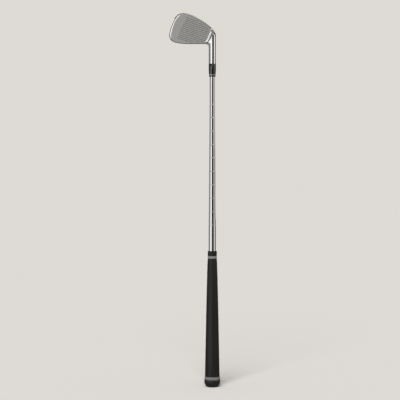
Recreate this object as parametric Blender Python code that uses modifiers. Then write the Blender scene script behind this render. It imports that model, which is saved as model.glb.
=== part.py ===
"""A short golf iron standing upright on its butt, with the head on top, sole up and striking face forward.

The origin is the middle of the butt end, +Z runs up the shaft, the toe points to -X and the face to -Y.
"""

import math

import bmesh
import bpy
from mathutils import Matrix, Vector

MM = 0.001

# Clearances and small edges
SEAT_GAP = 0.3 * MM  # between any two pieces that touch
CUT_OVERRUN = 3.0 * MM  # how far a cutter reaches past the face that it opens
EDGE_BREAK = 0.6 * MM  # chamfer at the end of a turned piece

# Lengths along the club
CLUB_LENGTH = 708.2 * MM  # from the butt to where the shaft's axis crosses the leading edge's line
GRIP_LENGTH = 265.3 * MM
HOSEL_REACH = 81.5 * MM  # from the leading edge's line back to the open end of the hosel
NECK_REACH = 55.0 * MM  # from the leading edge's line back to where the neck starts by the topline
FERRULE_LENGTH = 25.1 * MM

# Shaft
SHAFT_BUTT_RADIUS = 7.1 * MM
SHAFT_TIP_RADIUS = 5.0 * MM
SHAFT_TIP_RELIEF = 0.18 * MM  # how much less the tip's radius is than the bare shaft's by the ferrule
SHAFT_WALL = 0.55 * MM
SHAFT_STEPS = 10
SHAFT_STEP_RAMP = 1.2 * MM
SHAFT_PARALLEL_BUTT = 48.7 * MM  # bare length from the grip's mouth to the first step
SHAFT_PARALLEL_TIP = 53.6 * MM  # bare length from the last step to the ferrule
TIP_PLUG_LENGTH = 18.0 * MM
TIP_PLUG_SET_BACK = 3.0 * MM  # from the shaft's tip to the plug

# Grip
SLEEVE_MOUTH_WALL = 1.25 * MM
SLEEVE_BUTT_WALL = 5.9 * MM
SLEEVE_SWELL = 0.77  # power of the sleeve's taper: below 1 it swells out early
SLEEVE_CROWDING = 1.6  # power that crowds the sleeve's rings where the taper bends most
MOUTH_COLLAR_LENGTH = 10.7 * MM
MOUTH_BAND_LENGTH = 6.5 * MM
MOUTH_BAND_DEPTH = 0.5 * MM
BUTT_BAND_LENGTH = 6.2 * MM
BUTT_BAND_DEPTH = 1.2 * MM
MOUTH_HUG_LENGTH = 21.0 * MM  # stretch at the mouth whose bore hugs the bare shaft
TAPE_THICKNESS = 0.2 * MM
TAPE_SET_BACK = 4.0 * MM  # from the hugging stretch to the tape's end
CAP_LENGTH = 14.3 * MM
CAP_BULGE = 1.2 * MM  # how far the cap stands out round the sleeve
CAP_CROWN = 2.4 * MM  # length over which the bulge rounds in to the sleeve
CAP_CORNER_RADIUS = 6.6 * MM
CAP_FLOOR = 5.0 * MM
VENT_RADIUS = 1.2 * MM

# Ferrule
FERRULE_SET_IN = 0.1 * MM  # how much less its radius is than the hosel's
FERRULE_LIP_WALL = 0.37 * MM
FERRULE_LIP_BREAK = 0.25 * MM
FERRULE_STRAIGHT = 11.0 * MM  # parallel length next to the hosel
FERRULE_TAPER = 1.7  # power of its taper: above 1 it leaves the straight gently
TRIM_RING_SET_BACK = 3.2 * MM  # from the ferrule's narrow end to its trim ring
TRIM_RING_WIDTH = 1.8 * MM
TRIM_RING_DEPTH = 0.35 * MM
TRIM_RING_GAP = 0.1 * MM  # under the ring, which is pressed into its groove

# Hosel and neck
HOSEL_WALL = 1.75 * MM
HOSEL_BORE_DEPTH = 30.0 * MM
NECK_RISE = 27.0 * MM  # how much later the neck starts on the heel's outer side
NECK_FRONT_TURN = math.radians(132.0)  # how far round by the front the neck's start has risen in full
NECK_BEVEL = math.radians(38.0)  # between the face and the neck that rises from it
NECK_SIDES = (24.0, 156.0, 216.0, 326.0)  # degrees round the hosel to its front, sole, back and top sides

# Blade: its place and angles
LOFT = math.radians(26.0)
SCORE_SLOPE = math.radians(17.0)  # of the scorelines to the horizontal
LEADING_EDGE_FORWARD = 4.4 * MM  # from the shaft's axis to the leading edge
FACE_THICKNESS = 3.0 * MM

# Blade: its outline square to the face, toeward of the shaft's axis and up from the leading edge's line
BLADE_REACH = 75.1 * MM  # to the toe's tip
BLADE_HEIGHT = 63.9 * MM  # to the topline's peak
PEAK_FROM_TOE = 16.5 * MM
TOE_DROP = 21.8 * MM  # from the peak's height to the toe tip's
HEEL_DROP = 15.1 * MM  # from the peak's height to the topline's at the heel
HEEL_TOP = (1.3 * MM, BLADE_HEIGHT - HEEL_DROP)
PEAK = (BLADE_REACH - PEAK_FROM_TOE, BLADE_HEIGHT)
TOE_TIP = (BLADE_REACH, BLADE_HEIGHT - TOE_DROP)
SOLE_LOW = (47.7 * MM, 0.0)
HEEL_LOW = (-2.3 * MM, 13.4 * MM)
# One knot a line: place, heading in degrees, reach of the curve before and after it
OUTLINE_KNOTS = (
    (HEEL_TOP, 17.5, 0.0, 26.7 * MM),
    (PEAK, 0.0, 12.9 * MM, 12.6 * MM),
    (TOE_TIP, -90.0, 13.5 * MM, 23.2 * MM),
    (SOLE_LOW, -180.0, 21.4 * MM, 15.9 * MM),
    (HEEL_LOW, -212.0, 9.2 * MM, 0.0),
)

# Blade: its edge at the topline and at the toe, as insets and depths from the outline and the face
TOP_INSET = 1.7 * MM
TOE_INSET = 5.2 * MM
TOP_ROUND = 0.6 * MM
TOE_ROUND = 2.8 * MM
TOP_SHOULDER = 1.7 * MM
TOE_SHOULDER = 3.8 * MM
BEVEL_DEPTH = 0.5 * MM
TOE_BEVEL_DEPTH = 1.3 * MM
BACK_ROUND = 1.5 * MM
SOLE_DRAFT = 0.50  # how far the sole runs in for each unit of depth
TOE_DRAFT = 0.10
SOLE_CAMBER = 1.1 * MM
EDGE_BLEND = 1.5  # power that holds the toe's and the sole's edges to their own sides

# Blade: its flat back, by the depth behind the face at three places
TOPLINE_DEPTH = 6.0 * MM
TOPLINE_HEEL_DEPTH = 6.5 * MM
SOLE_DEPTH = 17.5 * MM
SOLE_BACK_PLACE = (35.0 * MM, 10.5 * MM)

# Cavity in the back, with its damper and badge
CAVITY_TOP_RIM = 5.0 * MM
CAVITY_TOE_RIM = 8.0 * MM
CAVITY_SOLE_RIM = 14.5 * MM
CAVITY_HEEL = 8.0 * MM
CAVITY_RADII = (5.0 * MM, 13.0 * MM, 18.0 * MM, 6.0 * MM)  # heel top, toe top, toe low, heel low
ARC_SHARE = 0.95  # most of the cavity's side that the arcs at its two ends may take
BADGE_MARGIN = 1.2 * MM
DAMPER_THICKNESS = 1.0 * MM
BADGE_THICKNESS = 0.8 * MM

# Scorelines
SCORE_PITCH = 3.75 * MM
SCORE_FIRST = 7.6 * MM  # of the lowest one, from the leading edge's line
SCORE_TOP_MARGIN = 11.0 * MM  # least distance from the last one to the peak's height
SCORE_EDGE_MARGIN = 4.0 * MM  # least distance from a scoreline's end to the outline
SCORE_HEEL_PLACE = -2.56 * MM  # where the slanted line of the heel ends crosses the leading edge's line
SCORE_TOE_MARGIN = 25.4 * MM  # from the line of the toe ends, there, to the blade's reach
SCORE_END_TILT = math.radians(8.6)
SCORE_WIDTH = 0.9 * MM
SCORE_DEPTH = 0.45 * MM

# Fineness
ROUND_STEPS = 32
OUTLINE_PIECES = (7, 7, 9, 8)  # straight pieces between one knot of the outline and the next
FRONT_PIECES = 9
BACK_PIECES = 8
NECK_RINGS = 8
EASING_ROUNDS = 4
SLEEVE_PIECES = 12
FERRULE_PIECES = 4
CROWN_PIECES = 3
CORNER_PIECES = 6
ARC_PIECES = 5
MERGE_DISTANCE = 0.01 * MM
SHARP_ANGLE = math.radians(30.0)

# Sizes that follow from the ones above
SHAFT_NECK_RADIUS = SHAFT_TIP_RADIUS + SHAFT_TIP_RELIEF
HOSEL_BORE = SHAFT_TIP_RADIUS + SEAT_GAP
HOSEL_RADIUS = HOSEL_BORE + HOSEL_WALL
FERRULE_BORE = SHAFT_NECK_RADIUS + SEAT_GAP
FERRULE_RADIUS = HOSEL_RADIUS - FERRULE_SET_IN
FERRULE_LIP_RADIUS = FERRULE_BORE + FERRULE_LIP_WALL
HUG_BORE = SHAFT_BUTT_RADIUS + SEAT_GAP
TAPE_RADIUS = SHAFT_BUTT_RADIUS + SEAT_GAP + TAPE_THICKNESS
TAPE_BORE = TAPE_RADIUS + SEAT_GAP
SLEEVE_MOUTH_RADIUS = HUG_BORE + SLEEVE_MOUTH_WALL
SLEEVE_BUTT_RADIUS = TAPE_BORE + SLEEVE_BUTT_WALL
CAP_RADIUS = SLEEVE_BUTT_RADIUS + CAP_BULGE

# Heights that follow from the sizes above
HOSEL_END = CLUB_LENGTH - HOSEL_REACH
HOSEL_BORE_END = HOSEL_END + HOSEL_BORE_DEPTH
NECK_START = CLUB_LENGTH - NECK_REACH
FERRULE_END = HOSEL_END - FERRULE_LENGTH
SHAFT_TIP_END = HOSEL_BORE_END - SEAT_GAP
SHAFT_BUTT_END = CAP_FLOOR + SEAT_GAP
FIRST_STEP = GRIP_LENGTH + SHAFT_PARALLEL_BUTT
STEP_PITCH = (FERRULE_END - SHAFT_PARALLEL_TIP - FIRST_STEP) / (SHAFT_STEPS - 1)
COLLAR_LOW = GRIP_LENGTH - MOUTH_COLLAR_LENGTH
MOUTH_BAND_LOW = COLLAR_LOW - MOUTH_BAND_LENGTH
HUG_LOW = GRIP_LENGTH - MOUTH_HUG_LENGTH
BUTT_BAND_HIGH = CAP_LENGTH + BUTT_BAND_LENGTH

# One piece a line: base colour, roughness and metallic value
FINISHES = {
    "head": ((0.42, 0.42, 0.41), 0.38, 1.0),
    "badge_damper": ((0.03, 0.03, 0.03), 0.80, 0.0),
    "cavity_badge": ((0.30, 0.30, 0.31), 0.35, 1.0),
    "shaft": ((0.72, 0.72, 0.72), 0.08, 1.0),
    "tip_plug": ((0.66, 0.48, 0.22), 0.35, 1.0),
    "ferrule": ((0.012, 0.012, 0.013), 0.18, 0.0),
    "ferrule_trim_ring": ((0.55, 0.55, 0.54), 0.25, 1.0),
    "grip_sleeve": ((0.020, 0.021, 0.021), 0.75, 0.0),
    "grip_mouth_band": ((0.24, 0.24, 0.23), 0.55, 0.0),
    "grip_butt_band": ((0.22, 0.22, 0.21), 0.55, 0.0),
    "grip_tape": ((0.62, 0.58, 0.48), 0.85, 0.0),
    "grip_end_cap": ((0.018, 0.018, 0.019), 0.55, 0.0),
}


# The scene and its helpers


def clear_scene():
    for obj in list(bpy.data.objects):
        bpy.data.objects.remove(obj, do_unlink=True)


def new_collection(name):
    collection = bpy.data.collections.new(name)
    bpy.context.scene.collection.children.link(collection)
    return collection


def new_material(name, color, roughness, metallic):
    material = bpy.data.materials.new(name)
    material.use_nodes = True
    shader = material.node_tree.nodes["Principled BSDF"]
    shader.inputs["Base Color"].default_value = (*color, 1.0)
    shader.inputs["Roughness"].default_value = roughness
    shader.inputs["Metallic"].default_value = metallic
    return material


def object_from_bmesh(name, bm, collection):
    """Makes an object of the mesh in bm, faces outwards, smooth but for its sharp edges."""
    bmesh.ops.recalc_face_normals(bm, faces=bm.faces)
    mesh = bpy.data.meshes.new(name)
    bm.to_mesh(mesh)
    bm.free()
    mesh.shade_smooth()
    mesh.set_sharp_from_angle(angle=SHARP_ANGLE)
    obj = bpy.data.objects.new(name, mesh)
    collection.objects.link(obj)
    return obj


def turned(name, profile, collection, closed=True):
    """Turns a profile of (radius, height) about Z.

    The profile runs down the outer side and, if it is closed, back up the inner one.
    """
    mesh = bpy.data.meshes.new(name)
    edges = [(i, i + 1) for i in range(len(profile) - 1)]
    if closed:
        edges.append((len(profile) - 1, 0))
    mesh.from_pydata([(radius, 0.0, height) for radius, height in profile], edges, [])
    obj = bpy.data.objects.new(name, mesh)
    collection.objects.link(obj)
    screw = obj.modifiers.new("turn", "SCREW")
    screw.axis = "Z"
    screw.steps = ROUND_STEPS
    screw.render_steps = ROUND_STEPS
    screw.use_merge_vertices = True
    screw.merge_threshold = MERGE_DISTANCE
    screw.use_smooth_shade = True
    return obj


def add_prism(bm, outline_points, low, high):
    """Adds a flat outline, given thickness along Z, to the mesh in bm."""
    base = bm.faces.new([bm.verts.new((x, y, low)) for x, y in outline_points])
    moved = bmesh.ops.extrude_face_region(bm, geom=[base])["geom"]
    top = [item for item in moved if isinstance(item, bmesh.types.BMVert)]
    bmesh.ops.translate(bm, verts=top, vec=(0.0, 0.0, high - low))


def cut(target, cutter):
    cutter.hide_render = True
    cutter.display_type = "WIRE"
    boolean = target.modifiers.new("cut by " + cutter.name, "BOOLEAN")
    boolean.operation = "DIFFERENCE"
    boolean.object = cutter


# Plane shapes


def heading(angle):
    return Vector((math.cos(angle), math.sin(angle)))


def even_steps(first, last, pieces):
    """Numbers from the first to the last, both of them included."""
    return [first + (last - first) * k / pieces for k in range(pieces + 1)]


def corner_halves(corners):
    """Half the angle at each corner of a polygon."""
    halves = []
    for k, corner in enumerate(corners):
        following = corners[(k + 1) % len(corners)]
        halves.append((corners[k - 1] - corner).angle(following - corner) / 2)
    return halves


def fitted_radii(corners, radii):
    """The radii, less where the arcs at both ends of a side wouldn't fit on it."""
    reaches = [radius / math.tan(half) for radius, half in zip(radii, corner_halves(corners))]
    room = []
    for k, corner in enumerate(corners):
        side = (corner - corners[k - 1]).length
        room.append(ARC_SHARE * side / (reaches[k - 1] + reaches[k]))
    return [
        radius * min(1.0, room[k], room[(k + 1) % len(room)])
        for k, radius in enumerate(radii)
    ]


def rounded_polygon(corners, radii):
    """The closed polygon through these corners, each replaced by an arc of its radius."""
    points = []
    for k, (corner, radius, half) in enumerate(zip(corners, radii, corner_halves(corners))):
        back = (corners[k - 1] - corner).normalized()
        ahead = (corners[(k + 1) % len(corners)] - corner).normalized()
        middle = corner + (back + ahead).normalized() * radius / math.sin(half)
        start = corner + back * radius / math.tan(half) - middle
        sweep = (math.pi - 2 * half) * math.copysign(1.0, ahead.cross(back))
        for turn in even_steps(0.0, sweep, ARC_PIECES):
            points.append(middle + Matrix.Rotation(turn, 2) @ start)
    return points


def inset_polygon(corners, distance):
    """Moves each side of a clockwise polygon inwards by the distance."""
    moved = []
    for i, corner in enumerate(corners):
        before = (corner - corners[i - 1]).normalized()
        after = (corners[(i + 1) % len(corners)] - corner).normalized()
        inward = Vector((before.y, -before.x)) + Vector((after.y, -after.x))
        inward.normalize()
        moved.append(corner + inward * distance / math.sin(before.angle(-after) / 2))
    return moved


# The blade


def blade_frame():
    """Toeward, up the face, and out of the face, with the leading edge's line through the origin."""
    toeward = Vector((-math.cos(SCORE_SLOPE), 0.0, math.sin(SCORE_SLOPE)))
    upright = Vector((-math.sin(SCORE_SLOPE), 0.0, -math.cos(SCORE_SLOPE)))
    forward = Vector((0.0, -1.0, 0.0))
    up_face = math.cos(LOFT) * upright - math.sin(LOFT) * forward
    outward = math.cos(LOFT) * forward + math.sin(LOFT) * upright
    frame = Matrix((toeward, up_face, outward)).transposed().to_4x4()
    frame.translation = (0.0, -LEADING_EDGE_FORWARD, CLUB_LENGTH)
    return frame


def outline():
    """The blade's outline from the heel along the topline, round the toe and back along the sole.

    Each item is a place and the direction out of the blade there.
    """
    items = []
    for knot, next_knot, pieces in zip(OUTLINE_KNOTS, OUTLINE_KNOTS[1:], OUTLINE_PIECES):
        start, end = Vector(knot[0]), Vector(next_knot[0])
        handle_a = start + heading(math.radians(knot[1])) * knot[3]
        handle_b = end - heading(math.radians(next_knot[1])) * next_knot[2]
        for k in range(pieces + (next_knot is OUTLINE_KNOTS[-1])):
            t = k / pieces
            s = 1 - t
            place = s**3 * start + 3 * s * s * t * handle_a + 3 * s * t * t * handle_b + t**3 * end
            run = s * s * (handle_a - start) + 2 * s * t * (handle_b - handle_a) + t * t * (end - handle_b)
            items.append((place, Vector((-run.y, run.x)).normalized()))
    return items


def back_plane():
    """Depth behind the face of the blade's flat back, as a constant and its change along each direction."""
    rows = (
        (1.0, PEAK[0], PEAK[1] - TOP_INSET, TOPLINE_DEPTH),
        (1.0, HEEL_TOP[0], HEEL_TOP[1] - TOP_INSET, TOPLINE_HEEL_DEPTH),
        (1.0, *SOLE_BACK_PLACE, SOLE_DEPTH),
    )
    solved = Matrix([row[:3] for row in rows]).inverted() @ Vector([row[3] for row in rows])
    return solved.x, Vector((solved.y, solved.z))


def edge_profile(place, out):
    """The blade's edge at one place, as (outward, depth) from the face's border to the back's."""
    toe = max(0.0, out.x) ** EDGE_BLEND
    sole = max(0.0, -out.y) ** EDGE_BLEND
    inset = TOP_INSET + (TOE_INSET - TOP_INSET) * toe
    rounding = TOP_ROUND + (TOE_ROUND - TOP_ROUND) * toe
    shoulder = TOP_SHOULDER + (TOE_SHOULDER - TOP_SHOULDER) * toe
    bevel = BEVEL_DEPTH + (TOE_BEVEL_DEPTH - BEVEL_DEPTH) * toe
    draft = SOLE_DRAFT * sole + TOE_DRAFT * toe
    depth_at_axis, change = back_plane()
    lean = change.dot(out)
    depth_here = depth_at_axis + change.dot(place)
    back = (depth_here + lean * (draft * shoulder - BACK_ROUND)) / (1 + lean * draft)
    wall_end = back - BACK_ROUND

    def wall(depth):
        share = min(1.0, (depth - shoulder) / (wall_end - shoulder))
        return SOLE_CAMBER * sole * math.sin(math.pi * share) - draft * (depth - shoulder)

    # The front corner and the back corner each have one point halfway round
    half_out = 1 - math.cos(math.pi / 4)
    half_along = math.sin(math.pi / 4)
    points = [(-inset, 0.0), (-rounding, bevel)]
    points.append((-rounding * half_out, shoulder - (shoulder - bevel) * half_along))
    points += [(wall(depth), depth) for depth in even_steps(shoulder, wall_end, 3)]
    points.append((wall(back) - BACK_ROUND * half_out, wall_end + BACK_ROUND * half_along))
    points.append((wall(back) - BACK_ROUND, back))
    return points


def add_edge(bm, frame):
    """Adds the blade's edge as a grid, one column of points for each place on the outline."""
    columns = []
    for place, out in outline():
        column = []
        for outward, depth in edge_profile(place, out):
            flat = place + out * outward
            column.append(bm.verts.new(frame @ Vector((flat.x, flat.y, -depth))))
        columns.append(column)
    for this, following in zip(columns, columns[1:]):
        for k in range(len(this) - 1):
            bm.faces.new((this[k], this[k + 1], following[k + 1], following[k]))
    return columns


# The neck and the hosel


def between(first, last, pieces):
    return [first.lerp(last, k / pieces) for k in range(1, pieces)]


def hosel_ring(turns):
    """Points round the hosel where the neck starts, for angles from the topline's side by way of the front.

    The hosel runs on furthest at the heel's outer side, and the front follows it sooner than the back.
    """
    points = []
    for turn in turns:
        turn %= 2 * math.pi
        share = min(1.0, turn / NECK_FRONT_TURN) if turn <= math.pi else 2 - turn / math.pi
        height = NECK_START + NECK_RISE * share * share * (3 - 2 * share)
        points.append(Vector((-HOSEL_RADIUS * math.cos(turn), -HOSEL_RADIUS * math.sin(turn), height)))
    return points


def neck_directions(frame):
    """The directions in which the neck runs on into the front, the sole, the back and the topline."""
    toeward, up_face, outward = (frame.to_3x3().col[k] for k in range(3))
    slope = back_plane()[1]
    along_top = heading(math.radians(OUTLINE_KNOTS[0][1]))
    along_sole = -heading(math.radians(OUTLINE_KNOTS[-1][1]))
    return (
        math.cos(NECK_BEVEL) * toeward - math.sin(NECK_BEVEL) * outward,
        along_sole.x * toeward + along_sole.y * up_face,
        (toeward - slope.x * outward).normalized(),
        along_top.x * toeward + along_top.y * up_face,
    )


def eased_round(vectors):
    """Evens out directions that change abruptly round a ring."""
    for _ in range(EASING_ROUNDS):
        vectors = [
            (vectors[k - 1] + 2 * vector + vectors[(k + 1) % len(vectors)]).normalized()
            for k, vector in enumerate(vectors)
        ]
    return vectors


def neck_point(t, start, leaving, end, arriving):
    """A point of the cubic curve between two places, with its directions at both."""
    s = 1 - t
    return (
        (1 + 2 * t) * s * s * start
        + t * s * s * leaving
        + t * t * (3 - 2 * t) * end
        - t * t * s * arriving
    )


def add_neck(bm, ring, starts, directions):
    """Joins the ring round the heel to the hosel, each of its points along its own curve."""
    rings = [[bm.verts.new((co.x, co.y, HOSEL_END)) for co in starts], [bm.verts.new(co) for co in starts]]
    for k in range(1, NECK_RINGS):
        row = []
        for start, end, direction in zip(starts, ring, directions):
            reach = (end.co - start).length
            leaving = Vector((0.0, 0.0, reach))
            row.append(bm.verts.new(neck_point(k / NECK_RINGS, start, leaving, end.co, direction * reach)))
        rings.append(row)
    rings.append(ring)
    bm.faces.new(rings[0])
    for this, following in zip(rings, rings[1:]):
        for k, vert in enumerate(this):
            after = (k + 1) % len(this)
            bm.faces.new((vert, this[after], following[after], following[k]))


def head_mesh():
    """The blade, its neck and the hosel as one closed mesh, not yet bored or hollowed."""
    frame = blade_frame()
    bm = bmesh.new()
    columns = add_edge(bm, frame)
    first, last = columns[0], columns[-1]
    front = [bm.verts.new(co) for co in between(first[0].co, last[0].co, FRONT_PIECES)]
    back = [bm.verts.new(co) for co in between(last[-1].co, first[-1].co, BACK_PIECES)]
    bm.faces.new([column[0] for column in columns] + front[::-1])
    bm.faces.new([column[-1] for column in reversed(columns)] + back[::-1])

    sides = ([first[0]] + front, last[:-1], [last[-1]] + back, first[:0:-1])
    side_ends = NECK_SIDES[1:] + (NECK_SIDES[0] + 360.0,)
    ring, turns, directions = [], [], []
    for verts, direction, start, end in zip(sides, neck_directions(frame), NECK_SIDES, side_ends):
        ring += verts
        turns += [math.radians(turn) for turn in even_steps(start, end, len(verts))[:-1]]
        directions += [direction] * len(verts)
    add_neck(bm, ring, hosel_ring(turns), eased_round(directions))
    return bm


# The cavity and the scorelines


def cavity_corners():
    """The cavity's corners in the face's plane: heel top, toe top, toe low and heel low, clockwise."""
    top_slope = math.tan(math.radians(OUTLINE_KNOTS[0][1]))
    top_heel = HEEL_TOP[1] + top_slope * (CAVITY_HEEL - HEEL_TOP[0]) - CAVITY_TOP_RIM
    toe = TOE_TIP[0] - CAVITY_TOE_RIM
    sole_slope = (HEEL_LOW[1] - SOLE_LOW[1]) / (SOLE_LOW[0] - HEEL_LOW[0])
    return [
        Vector((CAVITY_HEEL, top_heel)),
        Vector((toe, PEAK[1] - CAVITY_TOP_RIM)),
        Vector((toe, CAVITY_SOLE_RIM)),
        Vector((CAVITY_HEEL, CAVITY_SOLE_RIM + sole_slope * (SOLE_LOW[0] - CAVITY_HEEL))),
    ]


def cavity_shape(inset):
    """The cavity's outline, or one that lies inside it by the inset all round."""
    corners = cavity_corners()
    radii = [radius - inset for radius in fitted_radii(corners, CAVITY_RADII)]
    return rounded_polygon(inset_polygon(corners, inset), radii)


def cavity_cutter(cutters):
    """The pocket in the back, down to the face's thickness."""
    bm = bmesh.new()
    add_prism(bm, cavity_shape(0.0), -SOLE_DEPTH - CUT_OVERRUN, -FACE_THICKNESS)
    cutter = object_from_bmesh("cavity_cutter", bm, cutters)
    cutter.matrix_world = blade_frame()
    return cutter


def crossing_span(height, margin):
    """Where a scoreline at this height enters and leaves the outline moved inwards by the margin."""
    points = [place - out * margin for place, out in outline()]
    found = []
    for a, b in zip(points, points[1:] + points[:1]):
        if (a.y - height) * (b.y - height) < 0:
            found.append(a.x + (b.x - a.x) * (height - a.y) / (b.y - a.y))
    return min(found), max(found)


def scoreline_spans():
    """Height, heel end and toe end of each scoreline in the face's plane."""
    tilt = math.tan(SCORE_END_TILT)
    count = 1 + int((BLADE_HEIGHT - SCORE_TOP_MARGIN - SCORE_FIRST) / SCORE_PITCH)
    for k in range(count):
        height = SCORE_FIRST + k * SCORE_PITCH
        low, high = crossing_span(height, SCORE_EDGE_MARGIN)
        low = max(low, SCORE_HEEL_PLACE + height * tilt)
        high = min(high, BLADE_REACH - SCORE_TOE_MARGIN + height * tilt)
        yield height, low, high


def scoreline_cutter(cutters):
    """One three-sided bar for each scoreline, with its edge down in the face."""
    bm = bmesh.new()
    for height, low, high in scoreline_spans():
        side_a = (height + SCORE_WIDTH, SCORE_DEPTH)
        side_b = (height - SCORE_WIDTH, SCORE_DEPTH)
        add_prism(bm, ((height, -SCORE_DEPTH), side_a, side_b), low, high)
    cutter = object_from_bmesh("scoreline_cutter", bm, cutters)
    # The bars are drawn standing, across the way up the face and the way out of it
    laid_along_face = Matrix(((0, 0, 1, 0), (1, 0, 0, 0), (0, 1, 0, 0), (0, 0, 0, 1)))
    cutter.matrix_world = blade_frame() @ laid_along_face
    return cutter


def hosel_bore_cutter(cutters):
    low = HOSEL_END - CUT_OVERRUN
    profile = [(0.0, HOSEL_BORE_END), (HOSEL_BORE, HOSEL_BORE_END), (HOSEL_BORE, low), (0.0, low)]
    return turned("hosel_bore_cutter", profile, cutters, closed=False)


def make_head(parts, cutters):
    head = object_from_bmesh("head", head_mesh(), parts)
    cut(head, hosel_bore_cutter(cutters))
    cut(head, cavity_cutter(cutters))
    cut(head, scoreline_cutter(cutters))
    # The flat face and back stay evenly lit up to their borders
    even = head.modifiers.new("even shading", "WEIGHTED_NORMAL")
    even.keep_sharp = True
    return head


def make_cavity_layers(parts):
    """The damping pad on the cavity's floor, and the badge on the pad."""
    shape = cavity_shape(BADGE_MARGIN)
    layers = []
    depth = FACE_THICKNESS
    for name, thickness in (("badge_damper", DAMPER_THICKNESS), ("cavity_badge", BADGE_THICKNESS)):
        depth += SEAT_GAP
        bm = bmesh.new()
        add_prism(bm, shape, -depth - thickness, -depth)
        layer = object_from_bmesh(name, bm, parts)
        layer.matrix_world = blade_frame()
        layers.append(layer)
        depth += thickness
    return layers


# Shaft and ferrule


def step_radius(count):
    """Shaft radius on the tip's side of so many steps, counted from the butt."""
    return SHAFT_BUTT_RADIUS + (SHAFT_NECK_RADIUS - SHAFT_BUTT_RADIUS) * count / SHAFT_STEPS


def make_shaft(parts):
    """A hollow stepped tube, open at both ends."""
    outer = [(SHAFT_BUTT_RADIUS, SHAFT_BUTT_END)]
    for k in range(SHAFT_STEPS):
        height = FIRST_STEP + k * STEP_PITCH
        outer.append((step_radius(k), height))
        outer.append((step_radius(k + 1), height + SHAFT_STEP_RAMP))
    outer.append((SHAFT_NECK_RADIUS, FERRULE_END - SHAFT_STEP_RAMP))
    outer.append((SHAFT_TIP_RADIUS, FERRULE_END))
    outer.append((SHAFT_TIP_RADIUS, SHAFT_TIP_END))
    # The bore narrows a step before the outside does, so that the wall stays whole at every step
    inner = [
        (SHAFT_BUTT_RADIUS - SHAFT_WALL, SHAFT_BUTT_END),
        (SHAFT_BUTT_RADIUS - SHAFT_WALL, FIRST_STEP - STEP_PITCH),
        (SHAFT_TIP_RADIUS - SHAFT_WALL, FIRST_STEP + (SHAFT_STEPS - 2) * STEP_PITCH),
        (SHAFT_TIP_RADIUS - SHAFT_WALL, SHAFT_TIP_END),
    ]
    return turned("shaft", outer[::-1] + inner, parts)


def make_tip_plug(parts):
    """The swing weight pushed into the shaft's tip."""
    radius = SHAFT_TIP_RADIUS - SHAFT_WALL - SEAT_GAP
    profile = [
        (0.0, 0.0),
        (radius - EDGE_BREAK, 0.0),
        (radius, -EDGE_BREAK),
        (radius, EDGE_BREAK - TIP_PLUG_LENGTH),
        (radius - EDGE_BREAK, -TIP_PLUG_LENGTH),
        (0.0, -TIP_PLUG_LENGTH),
    ]
    plug = turned("tip_plug", profile, parts, closed=False)
    plug.location.z = SHAFT_TIP_END - TIP_PLUG_SET_BACK
    return plug


def ferrule_radius(height):
    """Ferrule radius at a height above its narrow end: parallel, then rounding down to the lip."""
    taper = FERRULE_LENGTH - FERRULE_STRAIGHT
    share = max(0.0, (taper - height) / taper)
    return FERRULE_RADIUS - (FERRULE_RADIUS - FERRULE_LIP_RADIUS) * share**FERRULE_TAPER


def make_ferrule(parts):
    """The sleeve that covers the joint, with a groove for its trim ring."""
    top = FERRULE_LENGTH - SEAT_GAP
    ring_low = TRIM_RING_SET_BACK
    ring_high = ring_low + TRIM_RING_WIDTH
    groove = ferrule_radius(ring_low) - TRIM_RING_DEPTH
    above = even_steps(FERRULE_LENGTH - FERRULE_STRAIGHT, ring_high, FERRULE_PIECES)
    below = even_steps(ring_low, FERRULE_LIP_BREAK, FERRULE_PIECES)
    profile = [(ferrule_radius(height), height) for height in [top, *above]]
    profile += [(groove, ring_high), (groove, ring_low)]
    profile += [(ferrule_radius(height), height) for height in below]
    profile += [(FERRULE_LIP_RADIUS - FERRULE_LIP_BREAK, 0.0), (FERRULE_BORE, 0.0), (FERRULE_BORE, top)]
    ferrule = turned("ferrule", profile, parts)
    ferrule.location.z = FERRULE_END
    return ferrule


def make_trim_ring(parts):
    low = TRIM_RING_SET_BACK + SEAT_GAP / 2
    high = TRIM_RING_SET_BACK + TRIM_RING_WIDTH - SEAT_GAP / 2
    inner = ferrule_radius(TRIM_RING_SET_BACK) - TRIM_RING_DEPTH + TRIM_RING_GAP
    profile = [(ferrule_radius(high), high), (ferrule_radius(low), low), (inner, low), (inner, high)]
    ring = turned("ferrule_trim_ring", profile, parts)
    ring.location.z = FERRULE_END
    return ring


# Grip


def sleeve_radius(height):
    """Outer radius of the sleeve at a height between its two bands."""
    share = (MOUTH_BAND_LOW - height) / (MOUTH_BAND_LOW - BUTT_BAND_HIGH)
    return SLEEVE_MOUTH_RADIUS + (SLEEVE_BUTT_RADIUS - SLEEVE_MOUTH_RADIUS) * share**SLEEVE_SWELL


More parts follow.
